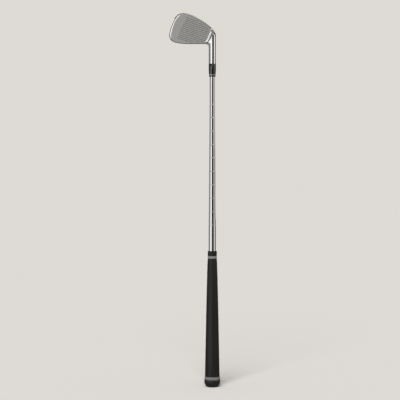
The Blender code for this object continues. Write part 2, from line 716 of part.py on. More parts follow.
def make_sleeve(parts):
    """The rubber sleeve, rebated for the band at its mouth and the band at its butt."""
    start = CAP_LENGTH + SEAT_GAP
    mouth_floor = SLEEVE_MOUTH_RADIUS - MOUTH_BAND_DEPTH - SEAT_GAP
    butt_floor = SLEEVE_BUTT_RADIUS - BUTT_BAND_DEPTH - SEAT_GAP
    profile = [
        (SLEEVE_MOUTH_RADIUS - EDGE_BREAK, GRIP_LENGTH),
        (SLEEVE_MOUTH_RADIUS, GRIP_LENGTH - EDGE_BREAK),
        (SLEEVE_MOUTH_RADIUS, COLLAR_LOW),
        (mouth_floor, COLLAR_LOW),
        (mouth_floor, MOUTH_BAND_LOW),
    ]
    for share in even_steps(0.0, 1.0, SLEEVE_PIECES):
        height = MOUTH_BAND_LOW + (BUTT_BAND_HIGH - MOUTH_BAND_LOW) * share**SLEEVE_CROWDING
        profile.append((sleeve_radius(height), height))
    profile += [(butt_floor, BUTT_BAND_HIGH), (butt_floor, start), (TAPE_BORE, start)]
    profile += [(TAPE_BORE, HUG_LOW - EDGE_BREAK), (HUG_BORE, HUG_LOW), (HUG_BORE, GRIP_LENGTH)]
    return turned("grip_sleeve", profile, parts)


def make_bands(parts):
    """The two pale rings set into the grip, each in its own rebate."""
    mouth = (SLEEVE_MOUTH_RADIUS, MOUTH_BAND_DEPTH, MOUTH_BAND_LOW, COLLAR_LOW)
    butt = (SLEEVE_BUTT_RADIUS, BUTT_BAND_DEPTH, CAP_LENGTH, BUTT_BAND_HIGH)
    bands = []
    for name, (radius, depth, low, high) in (("grip_mouth_band", mouth), ("grip_butt_band", butt)):
        low += SEAT_GAP
        high -= SEAT_GAP
        profile = [(radius, high), (radius, low), (radius - depth, low), (radius - depth, high)]
        bands.append(turned(name, profile, parts))
    return bands


def make_tape(parts):
    """The mounting tape wrapped round the shaft under the sleeve."""
    inner = SHAFT_BUTT_RADIUS + SEAT_GAP
    low = CAP_LENGTH + 2 * SEAT_GAP
    high = HUG_LOW - TAPE_SET_BACK
    return turned("grip_tape", [(TAPE_RADIUS, high), (TAPE_RADIUS, low), (inner, low), (inner, high)], parts)


def make_end_cap(parts):
    """The butt cap: a bulged cup with a socket for the shaft's end and a small vent."""
    socket = SHAFT_BUTT_RADIUS + SEAT_GAP
    profile = []
    for angle in even_steps(0.0, math.pi / 2, CROWN_PIECES):
        radius = SLEEVE_BUTT_RADIUS + CAP_BULGE * math.sin(angle)
        profile.append((radius, CAP_LENGTH - CAP_CROWN * (1 - math.cos(angle))))
    for angle in even_steps(0.0, math.pi / 2, CORNER_PIECES):
        radius = CAP_RADIUS - CAP_CORNER_RADIUS * (1 - math.cos(angle))
        profile.append((radius, CAP_CORNER_RADIUS * (1 - math.sin(angle))))
    profile += [(VENT_RADIUS, 0.0), (VENT_RADIUS, CAP_FLOOR), (socket, CAP_FLOOR), (socket, CAP_LENGTH)]
    return turned("grip_end_cap", profile, parts)


def main():
    clear_scene()
    parts = new_collection("golf_iron")
    cutters = new_collection("cutters")
    club = bpy.data.objects.new("golf_iron_origin", None)
    parts.objects.link(club)
    pieces = [make_head(parts, cutters), *make_cavity_layers(parts)]
    pieces += [make_shaft(parts), make_tip_plug(parts), make_ferrule(parts), make_trim_ring(parts)]
    pieces += [make_sleeve(parts), *make_bands(parts), make_tape(parts), make_end_cap(parts)]
    for piece in pieces:
        piece.data.materials.append(new_material(piece.name, *FINISHES[piece.name]))
        piece.parent = club


main()
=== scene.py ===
"""A golf iron that stands on its butt in a plain studio, with its head on top, sole up and face forward."""

from functools import partialmethod
from math import copysign, cos, degrees, pi, radians, sin, tan

import bmesh
import bpy
from bpy.props import FloatProperty, FloatVectorProperty, IntProperty, PointerProperty
from mathutils import Matrix, Vector


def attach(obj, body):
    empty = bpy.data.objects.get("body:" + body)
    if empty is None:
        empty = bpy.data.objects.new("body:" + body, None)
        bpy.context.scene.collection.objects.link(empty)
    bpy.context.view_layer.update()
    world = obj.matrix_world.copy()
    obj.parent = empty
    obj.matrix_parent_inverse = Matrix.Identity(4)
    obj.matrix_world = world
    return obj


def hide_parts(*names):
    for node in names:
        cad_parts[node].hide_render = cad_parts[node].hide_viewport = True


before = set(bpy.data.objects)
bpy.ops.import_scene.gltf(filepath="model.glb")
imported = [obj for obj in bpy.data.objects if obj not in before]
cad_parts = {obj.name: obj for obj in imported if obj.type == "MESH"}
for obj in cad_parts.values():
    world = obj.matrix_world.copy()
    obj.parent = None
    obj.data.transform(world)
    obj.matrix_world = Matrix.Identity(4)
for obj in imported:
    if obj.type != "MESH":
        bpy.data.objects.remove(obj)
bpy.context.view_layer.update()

bl_info = {
    "name": "Golf Iron",
    "version": (1, 0, 0),
    "blender": (4, 5, 0),
    "location": "3D View > Sidebar > Golf Iron",
    "description": "Builds the visible pieces of a golf iron on its CAD frame, and a studio round it",
    "category": "Add Mesh",
}

MM = 0.001

# Lengths and radii that follow the CAD frame
CLUB_LENGTH = 708.2 * MM
SEAT_GAP = 0.3 * MM
HOSEL_END = CLUB_LENGTH - 81.5 * MM
HOSEL_RADIUS = 7.05 * MM
HOSEL_BORE = 5.3 * MM
HOSEL_BORE_END = HOSEL_END + 30.0 * MM
NECK_START = CLUB_LENGTH - 55.0 * MM
FERRULE_LENGTH = 25.1 * MM
FERRULE_END = HOSEL_END - FERRULE_LENGTH
SHAFT_BUTT_END = 5.3 * MM
SHAFT_TIP_END = HOSEL_BORE_END - SEAT_GAP

# Neck: the hosel's end slopes up round its front, over this turn
NECK_RISE = 27.0 * MM
NECK_FRONT_TURN = radians(132.0)
NECK_BEVEL = radians(38.0)
NECK_SIDES = (24.0, 156.0, 216.0, 326.0)
# Across the front of the heel, as shares from topline to sole: where each column leaves the hosel, in degrees
NECK_SPREAD = ((0.0, 24.0), (0.47, 76.0), (0.8, 95.0), (1.0, 156.0))
# The shelf that the hosel's front ends in: its height at angles round the hosel
SHELF_EDGE = (
    (0.0, 663.0 * MM),
    (24.0, 667.4 * MM),
    (61.0, 673.8 * MM),
    (77.0, 677.6 * MM),
    (88.0, 683.0 * MM),
    (110.0, 689.0 * MM),
)
# How far the hosel's front flares towards the toe below the shelf, at angles round the hosel
SHELF_FLARE = ((0.0, 3.0 * MM), (24.0, 2.6 * MM), (61.0, 1.1 * MM), (88.0, 0.0))
SHELF_START = (0.0, 0.1)
SHELF_STOP = (0.76, 0.96)
SHELF_ROUND = 1.2 * MM
HEEL_BAND = 3.7 * MM
HEEL_BAND_TILT = radians(22.0)
HEEL_BAND_ROUND = 0.8 * MM
# The heel's line bows towards the hosel by this much, between these shares of its length
HEEL_LINE_SHIFT = 1.2 * MM
HEEL_LINE_START = (0.0, 0.3)
HEEL_LINE_STOP = (0.85, 1.0)
# Rings of the neck along the hosel, its shelf's edge, the wall behind it, the wall's foot and the band
SHELF_RINGS = (8, 8, 7, 6, 4)
NECK_RINGS = sum(SHELF_RINGS)
WALL_RINGS = range(sum(SHELF_RINGS[:2]), sum(SHELF_RINGS[:4]))
WALL_SHARE = 0.6
NECK_SMOOTHING = 24
# Each round of smoothing draws the neck in and lets it out again by these shares
SMOOTHING_STEPS = (0.5, -0.52)
NECK_EASING = 44
# How much sooner the neck turns out of the hosel on the side of the toe
NECK_EARLY_TURN = 0.45
MOUTH_BREAK = 0.12 * MM

# Blade: its place, angles and outline
LOFT = radians(26.0)
SCORE_SLOPE = radians(17.0)
LEADING_EDGE_FORWARD = 4.4 * MM
FACE_THICKNESS = 3.0 * MM
BLADE_REACH = 75.1 * MM
HEEL_TOP = (1.3 * MM, 48.8 * MM)
PEAK = (58.6 * MM, 63.9 * MM)
TOE_TIP = (BLADE_REACH, 42.1 * MM)
SOLE_LOW = (47.7 * MM, 0.0)
HEEL_LOW = (-2.3 * MM, 13.4 * MM)
# One knot a line: place, heading in degrees, reach of the curve before and after it
OUTLINE_KNOTS = (
    (HEEL_TOP, 17.5, 0.0, 26.7 * MM),
    (PEAK, 0.0, 12.9 * MM, 13.3 * MM),
    (TOE_TIP, -90.0, 14.2 * MM, 25.3 * MM),
    (SOLE_LOW, -180.0, 23.5 * MM, 15.9 * MM),
    (HEEL_LOW, -212.0, 9.2 * MM, 0.0),
)
OUTLINE_PIECES = (26, 22, 30, 26)

# Blade: the inset, rounding, shoulder and bevel of its edge, at the topline and at the toe
TOP_EDGE = (2.0 * MM, 0.6 * MM, 1.7 * MM, 0.65 * MM)
TOE_EDGE = (4.0 * MM, 1.5 * MM, 3.4 * MM, 1.3 * MM)
EDGE_BLEND = 1.5
TOE_RIM_BREAK = 0.42
TOP_TRIM = 0.7 * MM
# A rim of the face that is shaded softly into the bevel, but not along the topline
FACE_RIM = 0.5 * MM
CRISP_RIM_START = 0.75
# The leading edge wears the face's satin, brightened as a painted highlight, over these rows of faces, up to
# where it turns to the toe
SATIN_EDGE_ROWS = 2
SATIN_EDGE_END = 0.75
# How much brighter the leading edge is painted than the face: a painted highlight for the light its bevel
# mirrors
SATIN_EDGE_HIGHLIGHT_GAIN = 1.6
BACK_ROUND = 1.5 * MM
SOLE_DRAFT = 0.50
TOE_DRAFT = 0.10
SOLE_CAMBER = 1.1 * MM
TOPLINE_DEPTH = 6.0 * MM
TOPLINE_HEEL_DEPTH = 6.5 * MM
SOLE_DEPTH = 17.5 * MM
SOLE_BACK_PLACE = (35.0 * MM, 10.5 * MM)
CORNER_PIECES = 6
WALL_PIECES = 6
FRONT_PIECES = 56
BACK_PIECES = 22

# Cavity in the back, and the badge in it as (inset, depth) in millimetres
CAVITY_TOP_RIM = 5.0 * MM
CAVITY_TOE_RIM = 8.0 * MM
CAVITY_SOLE_RIM = 14.5 * MM
CAVITY_HEEL = 8.0 * MM
CAVITY_RADII = (5.0 * MM, 13.0 * MM, 18.0 * MM, 6.0 * MM)
CAVITY_LIP = 0.8 * MM
CAVITY_LIP_TURN = radians(80.0)
CAVITY_FILLET = 1.0 * MM
FILLET_PIECES = 4
ARC_PIECES = 10
CUT_OVERRUN = 3.0 * MM
BADGE_LAYERS = (
    (1.2, 4.6), (1.2, 5.1), (1.3, 5.3), (1.5, 5.4), (3.2, 5.4), (3.45, 5.32), (3.7, 5.15), (4.2, 5.1)
)

# Scorelines: where their ends lie
SCORE_EDGE_MARGIN = 4.0 * MM
SCORE_HEEL_PLACE = -2.56 * MM
SCORE_TOE_MARGIN = 25.4 * MM
SCORE_END_TILT = tan(radians(8.6))

# Shaft and ferrule
STEP_RINGS = 8.0
RAMP_SPARE = 0.2
FERRULE_STRAIGHT = 11.0 * MM
FERRULE_TAPER = 1.7
FERRULE_PIECES = (10, 6)
FERRULE_ROUND = 0.12 * MM
FERRULE_LIP_BREAK = 0.25 * MM
FERRULE_LIP_ROUND = 0.05 * MM
TRIM_RING_DEPTH = 0.35 * MM
TRIM_RING_GAP = 0.1 * MM
TRIM_RING_CROWN = 0.05 * MM
TRIM_RING_ROUND = 0.3 * MM

# Grip
GRIP_LENGTH = 264.0 * MM
COLLAR_LOW = 254.6 * MM
MOUTH_BAND_LOW = 249.2 * MM
MOUTH_BAND_DEPTH = 0.5 * MM
MOUTH_TAPER = 0.05 * MM
MOUTH_ROUND = 1.1 * MM
MOUTH_BORE_ROUND = 0.4 * MM
BAND_SEAT_ROUND = 0.25 * MM
BAND_ROUND = 0.3 * MM
BAND_CROWN_ROUND = 1.5 * MM
BUTT_BAND_HIGH = 20.5 * MM
BUTT_BAND_DEPTH = 1.2 * MM
BUTT_FLARE = 15.15 * MM
BUTT_FLARE_START = 14.4 * MM
SLEEVE_FLARE_LENGTH = 9.0 * MM
FLARE_PIECES = 5
SLEEVE_SWELL = 0.74
SLEEVE_CROWDING = 1.6
SLEEVE_PLAIN_SHARE = 0.97
SLEEVE_PIECES = 36
TAPE_THICKNESS = 0.2 * MM
HUG_LOW = 244.3 * MM
HUG_RAMP = 0.6 * MM
PAD_MARGIN = 3.0 * MM
PAD_BUTT_MARGIN = 10.0 * MM
PAD_WIDTH = 1.3 * MM
PAD_LENGTH = 2.2 * MM
PAD_TOP = 0.62
PAD_SIDES = 8
CAP_LENGTH = 14.3 * MM
CAP_CROWN = 2.4 * MM
CAP_CROWN_PIECES = 8
CAP_CORNER_RADIUS = 6.6 * MM
CAP_CORNER_RISE = 8.4 * MM
CAP_CORNER_POWER = 1.25
CAP_CORNER_PIECES = 16
CAP_FLOOR = 5.0 * MM
VENT_RADIUS = 1.2 * MM
VENT_ROUND = 0.3 * MM

# Studio
FLOOR_REACH = 400.0
FLOOR_ALBEDO = 0.82
KEY_AZIMUTH = radians(-12.0)
KEY_ELEVATION = radians(45.0)
ROOM_SHADE = (0.055, 0.055, 0.055)
CARD_REACH = 2.4
CARD_SHADE = (1.0, 0.99, 0.97)
CARD_PIECES = 12
DISC_PIECES = 64
# Upright cards round the club, by azimuth in degrees from the camera's side to the right.
# One row of cards a line: its lowest and highest edge, then where each card starts, ends and how bright it is
CARD_ROWS = (
    (-0.2, 0.25, ((-150, -82, 0.14), (-82, -62, 1.15), (-62, -13, 0.88))),
    (-0.2, 0.25, ((-13, 23, 0.015), (23, 48, 0.04), (48, 89, 0.72), (89, 150, 0.10))),
    (0.25, 0.55, ((-150, -62, 0.30), (-62, -20, 1.25), (-20, 30, 0.012), (30, 134, 0.38))),
    (0.55, 0.855, ((-150, -60, 0.30), (-60, -20, 1.15), (-20, 32, 0.015), (32, 134, 0.47))),
    (0.855, 1.14, ((-172, -150, 0.45), (-150, -58, 0.22), (-58, -8, 1.20), (54, 87, 1.05), (87, 150, 0.18))),
    (1.14, 1.85, ((54, 87, 1.05),)),
    (1.14, 2.6, ((-10, 22, 1.00),)),
    (1.5, 2.6, ((22, 54, 0.90),)),
    (1.14, 1.6, ((-172, -95, 1.30),)),
    (-0.2, 0.855, ((188, 210, 0.35),)),
    (-0.2, 1.9, ((150, 177, 0.85),)),
)
# Cards on the floor, which the grip mirrors: nearest and farthest edge, then as above
FLOOR_CARDS = (0.02, 2.35, ((-150, -78, 0.12), (-78, -4, 1.20), (-4, 150, 0.26), (150, 210, 0.12)))
FLOOR_CARD_HEIGHT = 0.5 * MM
# The pale ceiling that upward edges mirror, and the dark mat under the club that its downward edges mirror:
# middle, radius and brightness
DISC_CARDS = (((0.0, -1.2, 2.6), 2.0, 0.36), ((-0.10, 0.42, 1.0 * MM), 0.55, 0.10))

# Camera, by the photograph's frame
IMAGE_SIDE = 400.0
CAMERA_FOCAL = 1030.0
CAMERA_SIDE = -23.9 * MM
CAMERA_DIP = radians(0.772)

# Fineness of turned pieces
ROUND_STEPS = 96
ROUNDING_PIECES = 4
POLE_RADIUS = 1e-7
SHARP_ANGLE = radians(32.0)


# Sizes and colours that a user would change


def length(name, description, size):
    """A length in millimetres."""
    kind = {"subtype": "DISTANCE", "unit": "LENGTH", "precision": 4}
    return FloatProperty(name=name, description=description, default=size * MM, min=0.0, **kind)


def colour(name, description, shade):
    kind = {"min": 0.0, "max": 1.0, "size": 3, "subtype": "COLOR"}
    return FloatVectorProperty(name=name, description=description, default=shade, **kind)


def number(name, description, count, least=1):
    return IntProperty(name=name, description=description, default=count, min=least)


class IronHeadSettings(bpy.types.PropertyGroup):
    groove_first: length("First Scoreline", "Height of the lowest scoreline over the leading edge", 7.6)
    groove_pitch: length("Scoreline Pitch", "Distance from one scoreline to the next", 3.75)
    groove_count: number("Scorelines", "How many scorelines are cut in the face", 13)
    groove_width: length("Scoreline Width", "Width of a scoreline at the face", 0.58)
    groove_depth: length("Scoreline Depth", "Depth of a scoreline", 0.45)
    face_colour: colour("Face", "Reflected colour of the blasted face", (0.338, 0.338, 0.332))
    polish_colour: colour("Polish", "Reflected colour of the polished edge and hosel", (0.80, 0.80, 0.79))
    back_colour: colour("Back", "Reflected colour of the satin back", (0.52, 0.52, 0.51))
    badge_colour: colour("Badge", "Reflected colour of the plate in the cavity", (0.32, 0.32, 0.33))


class ShaftSettings(bpy.types.PropertyGroup):
    butt_radius: length("Butt Radius", "Radius of the bare shaft by the grip", 7.1)
    neck_radius: length("Neck Radius", "Radius of the bare shaft by the ferrule", 5.18)
    tip_radius: length("Tip Radius", "Radius of the shaft in the hosel", 5.0)
    wall: length("Wall", "Thickness of the tube", 0.55)
    steps: number("Steps", "How many steps the tube narrows in", 10)
    first_step: length("First Step", "Height of the step that is nearest to the grip", 314.0)
    step_pitch: length("Step Pitch", "Distance from one step to the next", 26.0)
    step_ramp: length("Step Ramp", "Length over which one step narrows", 1.2)
    chrome_colour: colour("Chrome", "Reflected colour of the plated tube", (0.80, 0.80, 0.80))


class FerruleSettings(bpy.types.PropertyGroup):
    radius: length("Radius", "Radius next to the hosel", 7.15)
    lip_radius: length("Lip Radius", "Radius at the narrow end", 6.0)
    ring_low: length("Ring Set-Back", "From the narrow end to the trim ring", 2.5)
    ring_width: length("Ring Width", "Width of the trim ring", 2.5)
    plastic_colour: colour("Plastic", "Colour of the ferrule", (0.002, 0.002, 0.0022))
    ring_colour: colour("Ring", "Reflected colour of the trim ring", (0.42, 0.43, 0.42))


class GripSettings(bpy.types.PropertyGroup):
    mouth_radius: length("Mouth Radius", "Radius at the grip's mouth", 8.85)
    butt_radius: length("Butt Radius", "Radius at the grip's butt", 14.1)
    cap_radius: length("Cap Radius", "Radius of the bulged end cap", 15.4)
    mark_rows: number("Mark Rows", "Rows of traction marks on the grip", 68)
    mark_columns: number("Mark Columns", "Traction marks round the grip", 24, 3)
    mark_height: length("Mark Height", "How far a traction mark stands out", 0.14)
    rubber_colour: colour("Rubber", "Colour of the grip", (0.0105, 0.0107, 0.0107))
    # The two bands are one grey rubber; the mouth band's colour is painted lighter and the butt band's
    # darker: painted light and shade
    mouth_band_colour: colour("Mouth Band", "Colour of the ring below the collar", (0.206, 0.212, 0.219))
    butt_band_colour: colour("Butt Band", "Colour of the ring above the end cap", (0.162, 0.167, 0.174))
    cap_colour: colour("Cap", "Colour of the end cap", (0.0095, 0.0095, 0.0092))


class StudioSettings(bpy.types.PropertyGroup):
    backdrop_colour: colour("Backdrop", "Tone of the seamless backdrop", (0.730, 0.705, 0.665))
    key_share: FloatProperty(
        name="Key Share",
        description="Part of the floor's light that comes from the key light",
        default=0.66,
        min=0.0,
        max=1.0,
        subtype="FACTOR",
    )
    key_softness: FloatProperty(
        name="Key Softness",
        description="Angle that the key light fills",
        default=radians(32.0),
        subtype="ANGLE",
    )
    camera_distance: length("Camera Distance", "From the shaft's axis to the camera", 2000.0)
    camera_height: length("Camera Height", "Height of the camera over the floor", 390.0)


# Nodes


def add_node(tree, kind, inputs=None, **settings):
    """Adds a node with its settings, and links or sets its inputs, which are named or numbered."""
    node = tree.nodes.new(kind)
    for key, value in settings.items():
        setattr(node, key, value)
    for key, value in (inputs or {}).items():
        value = getattr(value, "socket", value)
        if isinstance(value, bpy.types.NodeSocket):
            tree.links.new(value, node.inputs[key])
        else:
            node.inputs[key].default_value = value
    return node


def geo(tree, kind, inputs=None, **settings):
    """The first output of a new geometry node."""
    return add_node(tree, "GeometryNode" + kind, inputs, **settings).outputs[0]


def vector(tree, *parts):
    return add_node(tree, "ShaderNodeCombineXYZ", dict(enumerate(parts))).outputs[0]


class Number:
    """What a node gives out. Arithmetic on it adds math nodes to its tree."""

    def __init__(self, socket):
        self.socket = socket

    def calc(self, operation, *values, clamp=False):
        inputs = dict(enumerate((self, *values)))
        settings = {"operation": operation, "use_clamp": clamp}
        return Number(add_node(self.socket.id_data, "ShaderNodeMath", inputs, **settings).outputs[0])

    __add__ = partialmethod(calc, "ADD")
    __sub__ = partialmethod(calc, "SUBTRACT")
    __mul__ = partialmethod(calc, "MULTIPLY")
    __truediv__ = partialmethod(calc, "DIVIDE")
    __mod__ = partialmethod(calc, "MODULO")
    __pow__ = partialmethod(calc, "POWER")
    __gt__ = partialmethod(calc, "GREATER_THAN")
    __lt__ = partialmethod(calc, "LESS_THAN")


def shaped_by(name, build, guide, values):
    """The plain mesh that a geometry tree with these inputs makes of a guide object, which is used up."""
    tree = bpy.data.node_groups.new(name, "GeometryNodeTree")
    kinds = {key: type(value).__name__.title() for key, value in values.items()}
    for key, kind in {"Geometry": "Geometry", **kinds}.items():
        tree.interface.new_socket(key, in_out="INPUT", socket_type="NodeSocket" + kind)
    tree.interface.new_socket("Geometry", in_out="OUTPUT", socket_type="NodeSocketGeometry")
    given = {socket.name: Number(socket) for socket in add_node(tree, "NodeGroupInput").outputs}
    geometry, selection = build(tree, given)
    real = geo(tree, "RealizeInstances", {0: geometry})
    worn = geo(tree, "SetMaterial", {0: real, "Selection": selection, "Material": given["Finish"]})
    add_node(tree, "NodeGroupOutput", {0: worn})
    modifier = guide.modifiers.new("shape", "NODES")
    modifier.node_group = tree
    for item in tree.interface.items_tree:
        if item.name in values:
            modifier[item.identifier] = values[item.name]
    depsgraph = bpy.context.evaluated_depsgraph_get()
    mesh = bpy.data.meshes.new_from_object(guide.evaluated_get(depsgraph), depsgraph=depsgraph)
    guide.modifiers.clear()
    bpy.data.objects.remove(guide)
    return mesh


def without(tree, body, cutter):
    return geo(tree, "MeshBoolean", {0: body, 1: cutter}, operation="DIFFERENCE", solver="EXACT")


# Pieces


def new_object(name, data):
    obj = bpy.data.objects.new(name, data)
    bpy.context.scene.collection.objects.link(obj)
    return obj


def finished(name, mesh, node, slot, *materials):
    """A piece of the club in place of its CAD node."""
    mesh.name = name
    for material in materials:
        mesh.materials.append(material)
    piece = new_object(name, mesh)
    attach(piece, "root")
    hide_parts(node)


def smoothed(mesh):
    mesh.shade_smooth()
    mesh.set_sharp_from_angle(angle=SHARP_ANGLE)
    return mesh


def mesh_from(bm):
    mesh = bpy.data.meshes.new("mesh")
    bm.to_mesh(mesh)
    bm.free()
    return mesh


def even_steps(first, last, pieces):
    return [first + (last - first) * k / pieces for k in range(pieces + 1)]


def curved(start, control, end, pieces):
    """Points of a quadratic curve, without its first."""
    points = []
    for t in even_steps(0.0, 1.0, pieces)[1:]:
        s = 1 - t
        points.append(tuple(s**2 * a + 2 * t * s * b + t * t * c for a, b, c in zip(start, control, end)))
    return points


def bridge(bm, this, following):
    """Faces from one ring of vertices to the next. A pole is a ring that repeats one vertex."""
    faces = []
    for k, vert in enumerate(this):
        after = (k + 1) % len(this)
        faces.append(bm.faces.new(dict.fromkeys((vert, this[after], following[after], following[k]))))
    return faces


def turned(corners, base=0.0):
    """Turns a closed profile about the club's axis, with its heights over the base. It runs down outside and
    up inside. A corner is (radius, height), and how far it is cut back and curved."""
    profile = []
    for k, (radius, height, *rounding) in enumerate(corners):
        corner = Vector((radius, height))
        if not rounding:
            profile.append(corner)
            continue
        before = Vector(corners[k - 1][:2]) - corner
        after = Vector(corners[(k + 1) % len(corners)][:2]) - corner
        start = corner + before.normalized() * min(*rounding, before.length / 2)
        end = corner + after.normalized() * min(*rounding, after.length / 2)
        profile += [start, *curved(start, corner, end, ROUNDING_PIECES)]
    bm = bmesh.new()
    rings = []
    for radius, height in profile:
        turns = even_steps(0.0, 2 * pi, ROUND_STEPS)[:-1]
        if radius < POLE_RADIUS:
            rings.append([bm.verts.new((0.0, 0.0, base + height))] * ROUND_STEPS)
        else:
            places = [(radius * cos(turn), radius * sin(turn), base + height) for turn in turns]
            rings.append([bm.verts.new(place) for place in places])
    for this, following in zip(rings, rings[1:] + rings[:1]):
        if this[0] is not this[1] or following[0] is not following[1]:
            bridge(bm, this, following)
    bmesh.ops.recalc_face_normals(bm, faces=bm.faces)
    return smoothed(mesh_from(bm))


# The blade


def blade_frame():
    """Toeward, up the face, and out of the face, with the leading edge's line through the origin."""
    toeward = Vector((-cos(SCORE_SLOPE), 0.0, sin(SCORE_SLOPE)))
    upright = Vector((-sin(SCORE_SLOPE), 0.0, -cos(SCORE_SLOPE)))
    forward = Vector((0.0, -1.0, 0.0))
    up_face = cos(LOFT) * upright - sin(LOFT) * forward
    outward = cos(LOFT) * forward + sin(LOFT) * upright
    stance = Matrix((toeward, up_face, outward)).transposed().to_4x4()
    stance.translation = (0.0, -LEADING_EDGE_FORWARD, CLUB_LENGTH)
    return stance


def heading(angle):
    return Vector((cos(radians(angle)), sin(radians(angle))))


def outline():
    """Places on the blade's outline, and the direction out of the blade at each."""
    items = []
    for knot, next_knot, pieces in zip(OUTLINE_KNOTS, OUTLINE_KNOTS[1:], OUTLINE_PIECES):
        start, end = Vector(knot[0]), Vector(next_knot[0])
        handle_a = start + heading(knot[1]) * knot[3]
        handle_b = end - heading(next_knot[1]) * next_knot[2]
        for k in range(pieces + (next_knot is OUTLINE_KNOTS[-1])):
            t = k / pieces
            s = 1 - t
            place = s**3 * start + 3 * s * s * t * handle_a + 3 * s * t * t * handle_b + t**3 * end
            run = s * s * (handle_a - start) + 2 * s * t * (handle_b - handle_a) + t * t * (end - handle_b)
            items.append((place, Vector((-run.y, run.x)).normalized()))
    return items


def back_plane():
    """Depth of the blade's flat back behind the face, as a constant and its change along each direction."""
    rows = (
        (1.0, PEAK[0], PEAK[1] - TOP_EDGE[0], TOPLINE_DEPTH),
        (1.0, HEEL_TOP[0], HEEL_TOP[1] - TOP_EDGE[0], TOPLINE_HEEL_DEPTH),
        (1.0, *SOLE_BACK_PLACE, SOLE_DEPTH),
    )
    solved = Matrix([row[:3] for row in rows]).inverted() @ Vector([row[3] for row in rows])
    return solved.x, Vector((solved.y, solved.z))


BLADE = blade_frame()
TOEWARD, UP_FACE, OUTWARD = BLADE.to_3x3().transposed()
OUTLINE = outline()
BACK_DEPTH, BACK_SLOPE = back_plane()


def in_face(flat):
    return flat.x * TOEWARD + flat.y * UP_FACE


def edge_profile(place, out):
    """The blade's edge at one place, as (outward, depth) from the face's border to the back's."""
    toe, sole, top = (max(0.0, part) ** EDGE_BLEND for part in (out.x, -out.y, out.y))
    blended = [at_top + (at_toe - at_top) * toe for at_top, at_toe in zip(TOP_EDGE, TOE_EDGE)]
    inset, rounding, shoulder, bevel = blended
    draft = SOLE_DRAFT * sole + TOE_DRAFT * toe
    lean = BACK_SLOPE.dot(out)
    depth_here = BACK_DEPTH + BACK_SLOPE.dot(place)
    back = (depth_here + lean * (draft * shoulder - BACK_ROUND)) / (1 + lean * draft)
    wall_end = back - BACK_ROUND
    camber = SOLE_CAMBER * sole
    camber_slope = camber * pi / (wall_end - shoulder)

    def wall(depth):
        share = min(1.0, (depth - shoulder) / (wall_end - shoulder))
        return camber * sin(pi * share) - draft * (depth - shoulder)

    # The front corner leaves the bevel, at the toe by an edge of its own, and meets the wall without a crease
    bevel_run = (inset - rounding) / bevel * (1 - TOE_RIM_BREAK * toe)
    wall_slope = camber_slope - draft
    depth_of_control = (rounding + bevel * bevel_run - wall_slope * shoulder) / (bevel_run - wall_slope)
    control = (wall_slope * (depth_of_control - shoulder), depth_of_control)
    points = [(-inset - FACE_RIM, 0.0), (-inset, 0.0), (-rounding, bevel)]
    points += curved((-rounding, bevel), control, (0.0, shoulder), CORNER_PIECES)
    points += [(wall(depth), depth) for depth in even_steps(shoulder, wall_end, WALL_PIECES)[1:]]
    corner = (wall(wall_end) - (camber_slope + draft) * BACK_ROUND, back)
    points += curved((wall(wall_end), wall_end), corner, (wall(back) - BACK_ROUND, back), CORNER_PIECES)
    return [(outward - TOP_TRIM * top, depth) for outward, depth in points]


# The neck and the hosel


def between(table, value):
    """The table's value at a place between its rows of (place, value)."""
    for (low, start), (high, end) in zip(table, table[1:]):
        if value <= high:
            break
    return start + (end - start) * min(1.0, max(0.0, (value - low) / (high - low)))


def eased(value, start=0.0, end=1.0):
    """Zero up to the start, one from the end on, and eased between them."""
    risen = between(((start, 0.0), (end, 1.0)), value)
    return risen * risen * (3 - 2 * risen)


def within(value, start, stop):
    """Eased in over the first range and out over the second."""
    return eased(value, *start) * (1 - eased(value, *stop))


def hosel_point(turn):
    """Where the neck starts on the hosel, at an angle from the topline's side by way of the front."""
    turn %= 2 * pi
    risen = eased(min(1.0, turn / NECK_FRONT_TURN) if turn <= pi else 2 - turn / pi)
    return Vector((-HOSEL_RADIUS * cos(turn), -HOSEL_RADIUS * sin(turn), NECK_START + NECK_RISE * risen))


def eased_round(vectors):
    for _ in range(NECK_EASING):
        following = vectors[1:] + vectors[:1]
        vectors = [(vectors[k - 1] + 2 * v + following[k]).normalized() for k, v in enumerate(vectors)]
    return vectors


def neck_point(t, start, leaving, end, arriving):
    s = 1 - t
    from_start = (1 + 2 * t) * s * s * start + t * s * s * leaving
    return from_start + t * t * (3 - 2 * t) * end - t * t * s * arriving


def shelf_path(turn, start, end):
    """A path from the hosel's ring up to its shelf, back along the wall and over the band to the face."""
    edge = Vector((start.x - between(SHELF_FLARE, turn), start.y, between(SHELF_EDGE, turn)))
    below = Vector((start.x, start.y, (start.z + edge.z) / 2))
    foot = end - (in_face(heading(OUTLINE_KNOTS[0][1])) - OUTWARD * tan(HEEL_BAND_TILT)) * HEEL_BAND
    back = (foot - edge).normalized()
    on = (end - foot).normalized()
    before_edge = edge - (edge - below).normalized() * SHELF_ROUND
    after_edge = edge + back * SHELF_ROUND
    before_foot = foot - back * HEEL_BAND_ROUND
    after_foot = foot + on * HEEL_BAND_ROUND
    legs = (
        (start, below, before_edge),
        (before_edge, edge, after_edge),
        (after_edge, (after_edge + before_foot) / 2, before_foot),
        (before_foot, foot, after_foot),
        (after_foot, (after_foot + end) / 2, end),
    )
    return [Vector(point) for leg, pieces in zip(legs, SHELF_RINGS) for point in curved(*leg, pieces)]


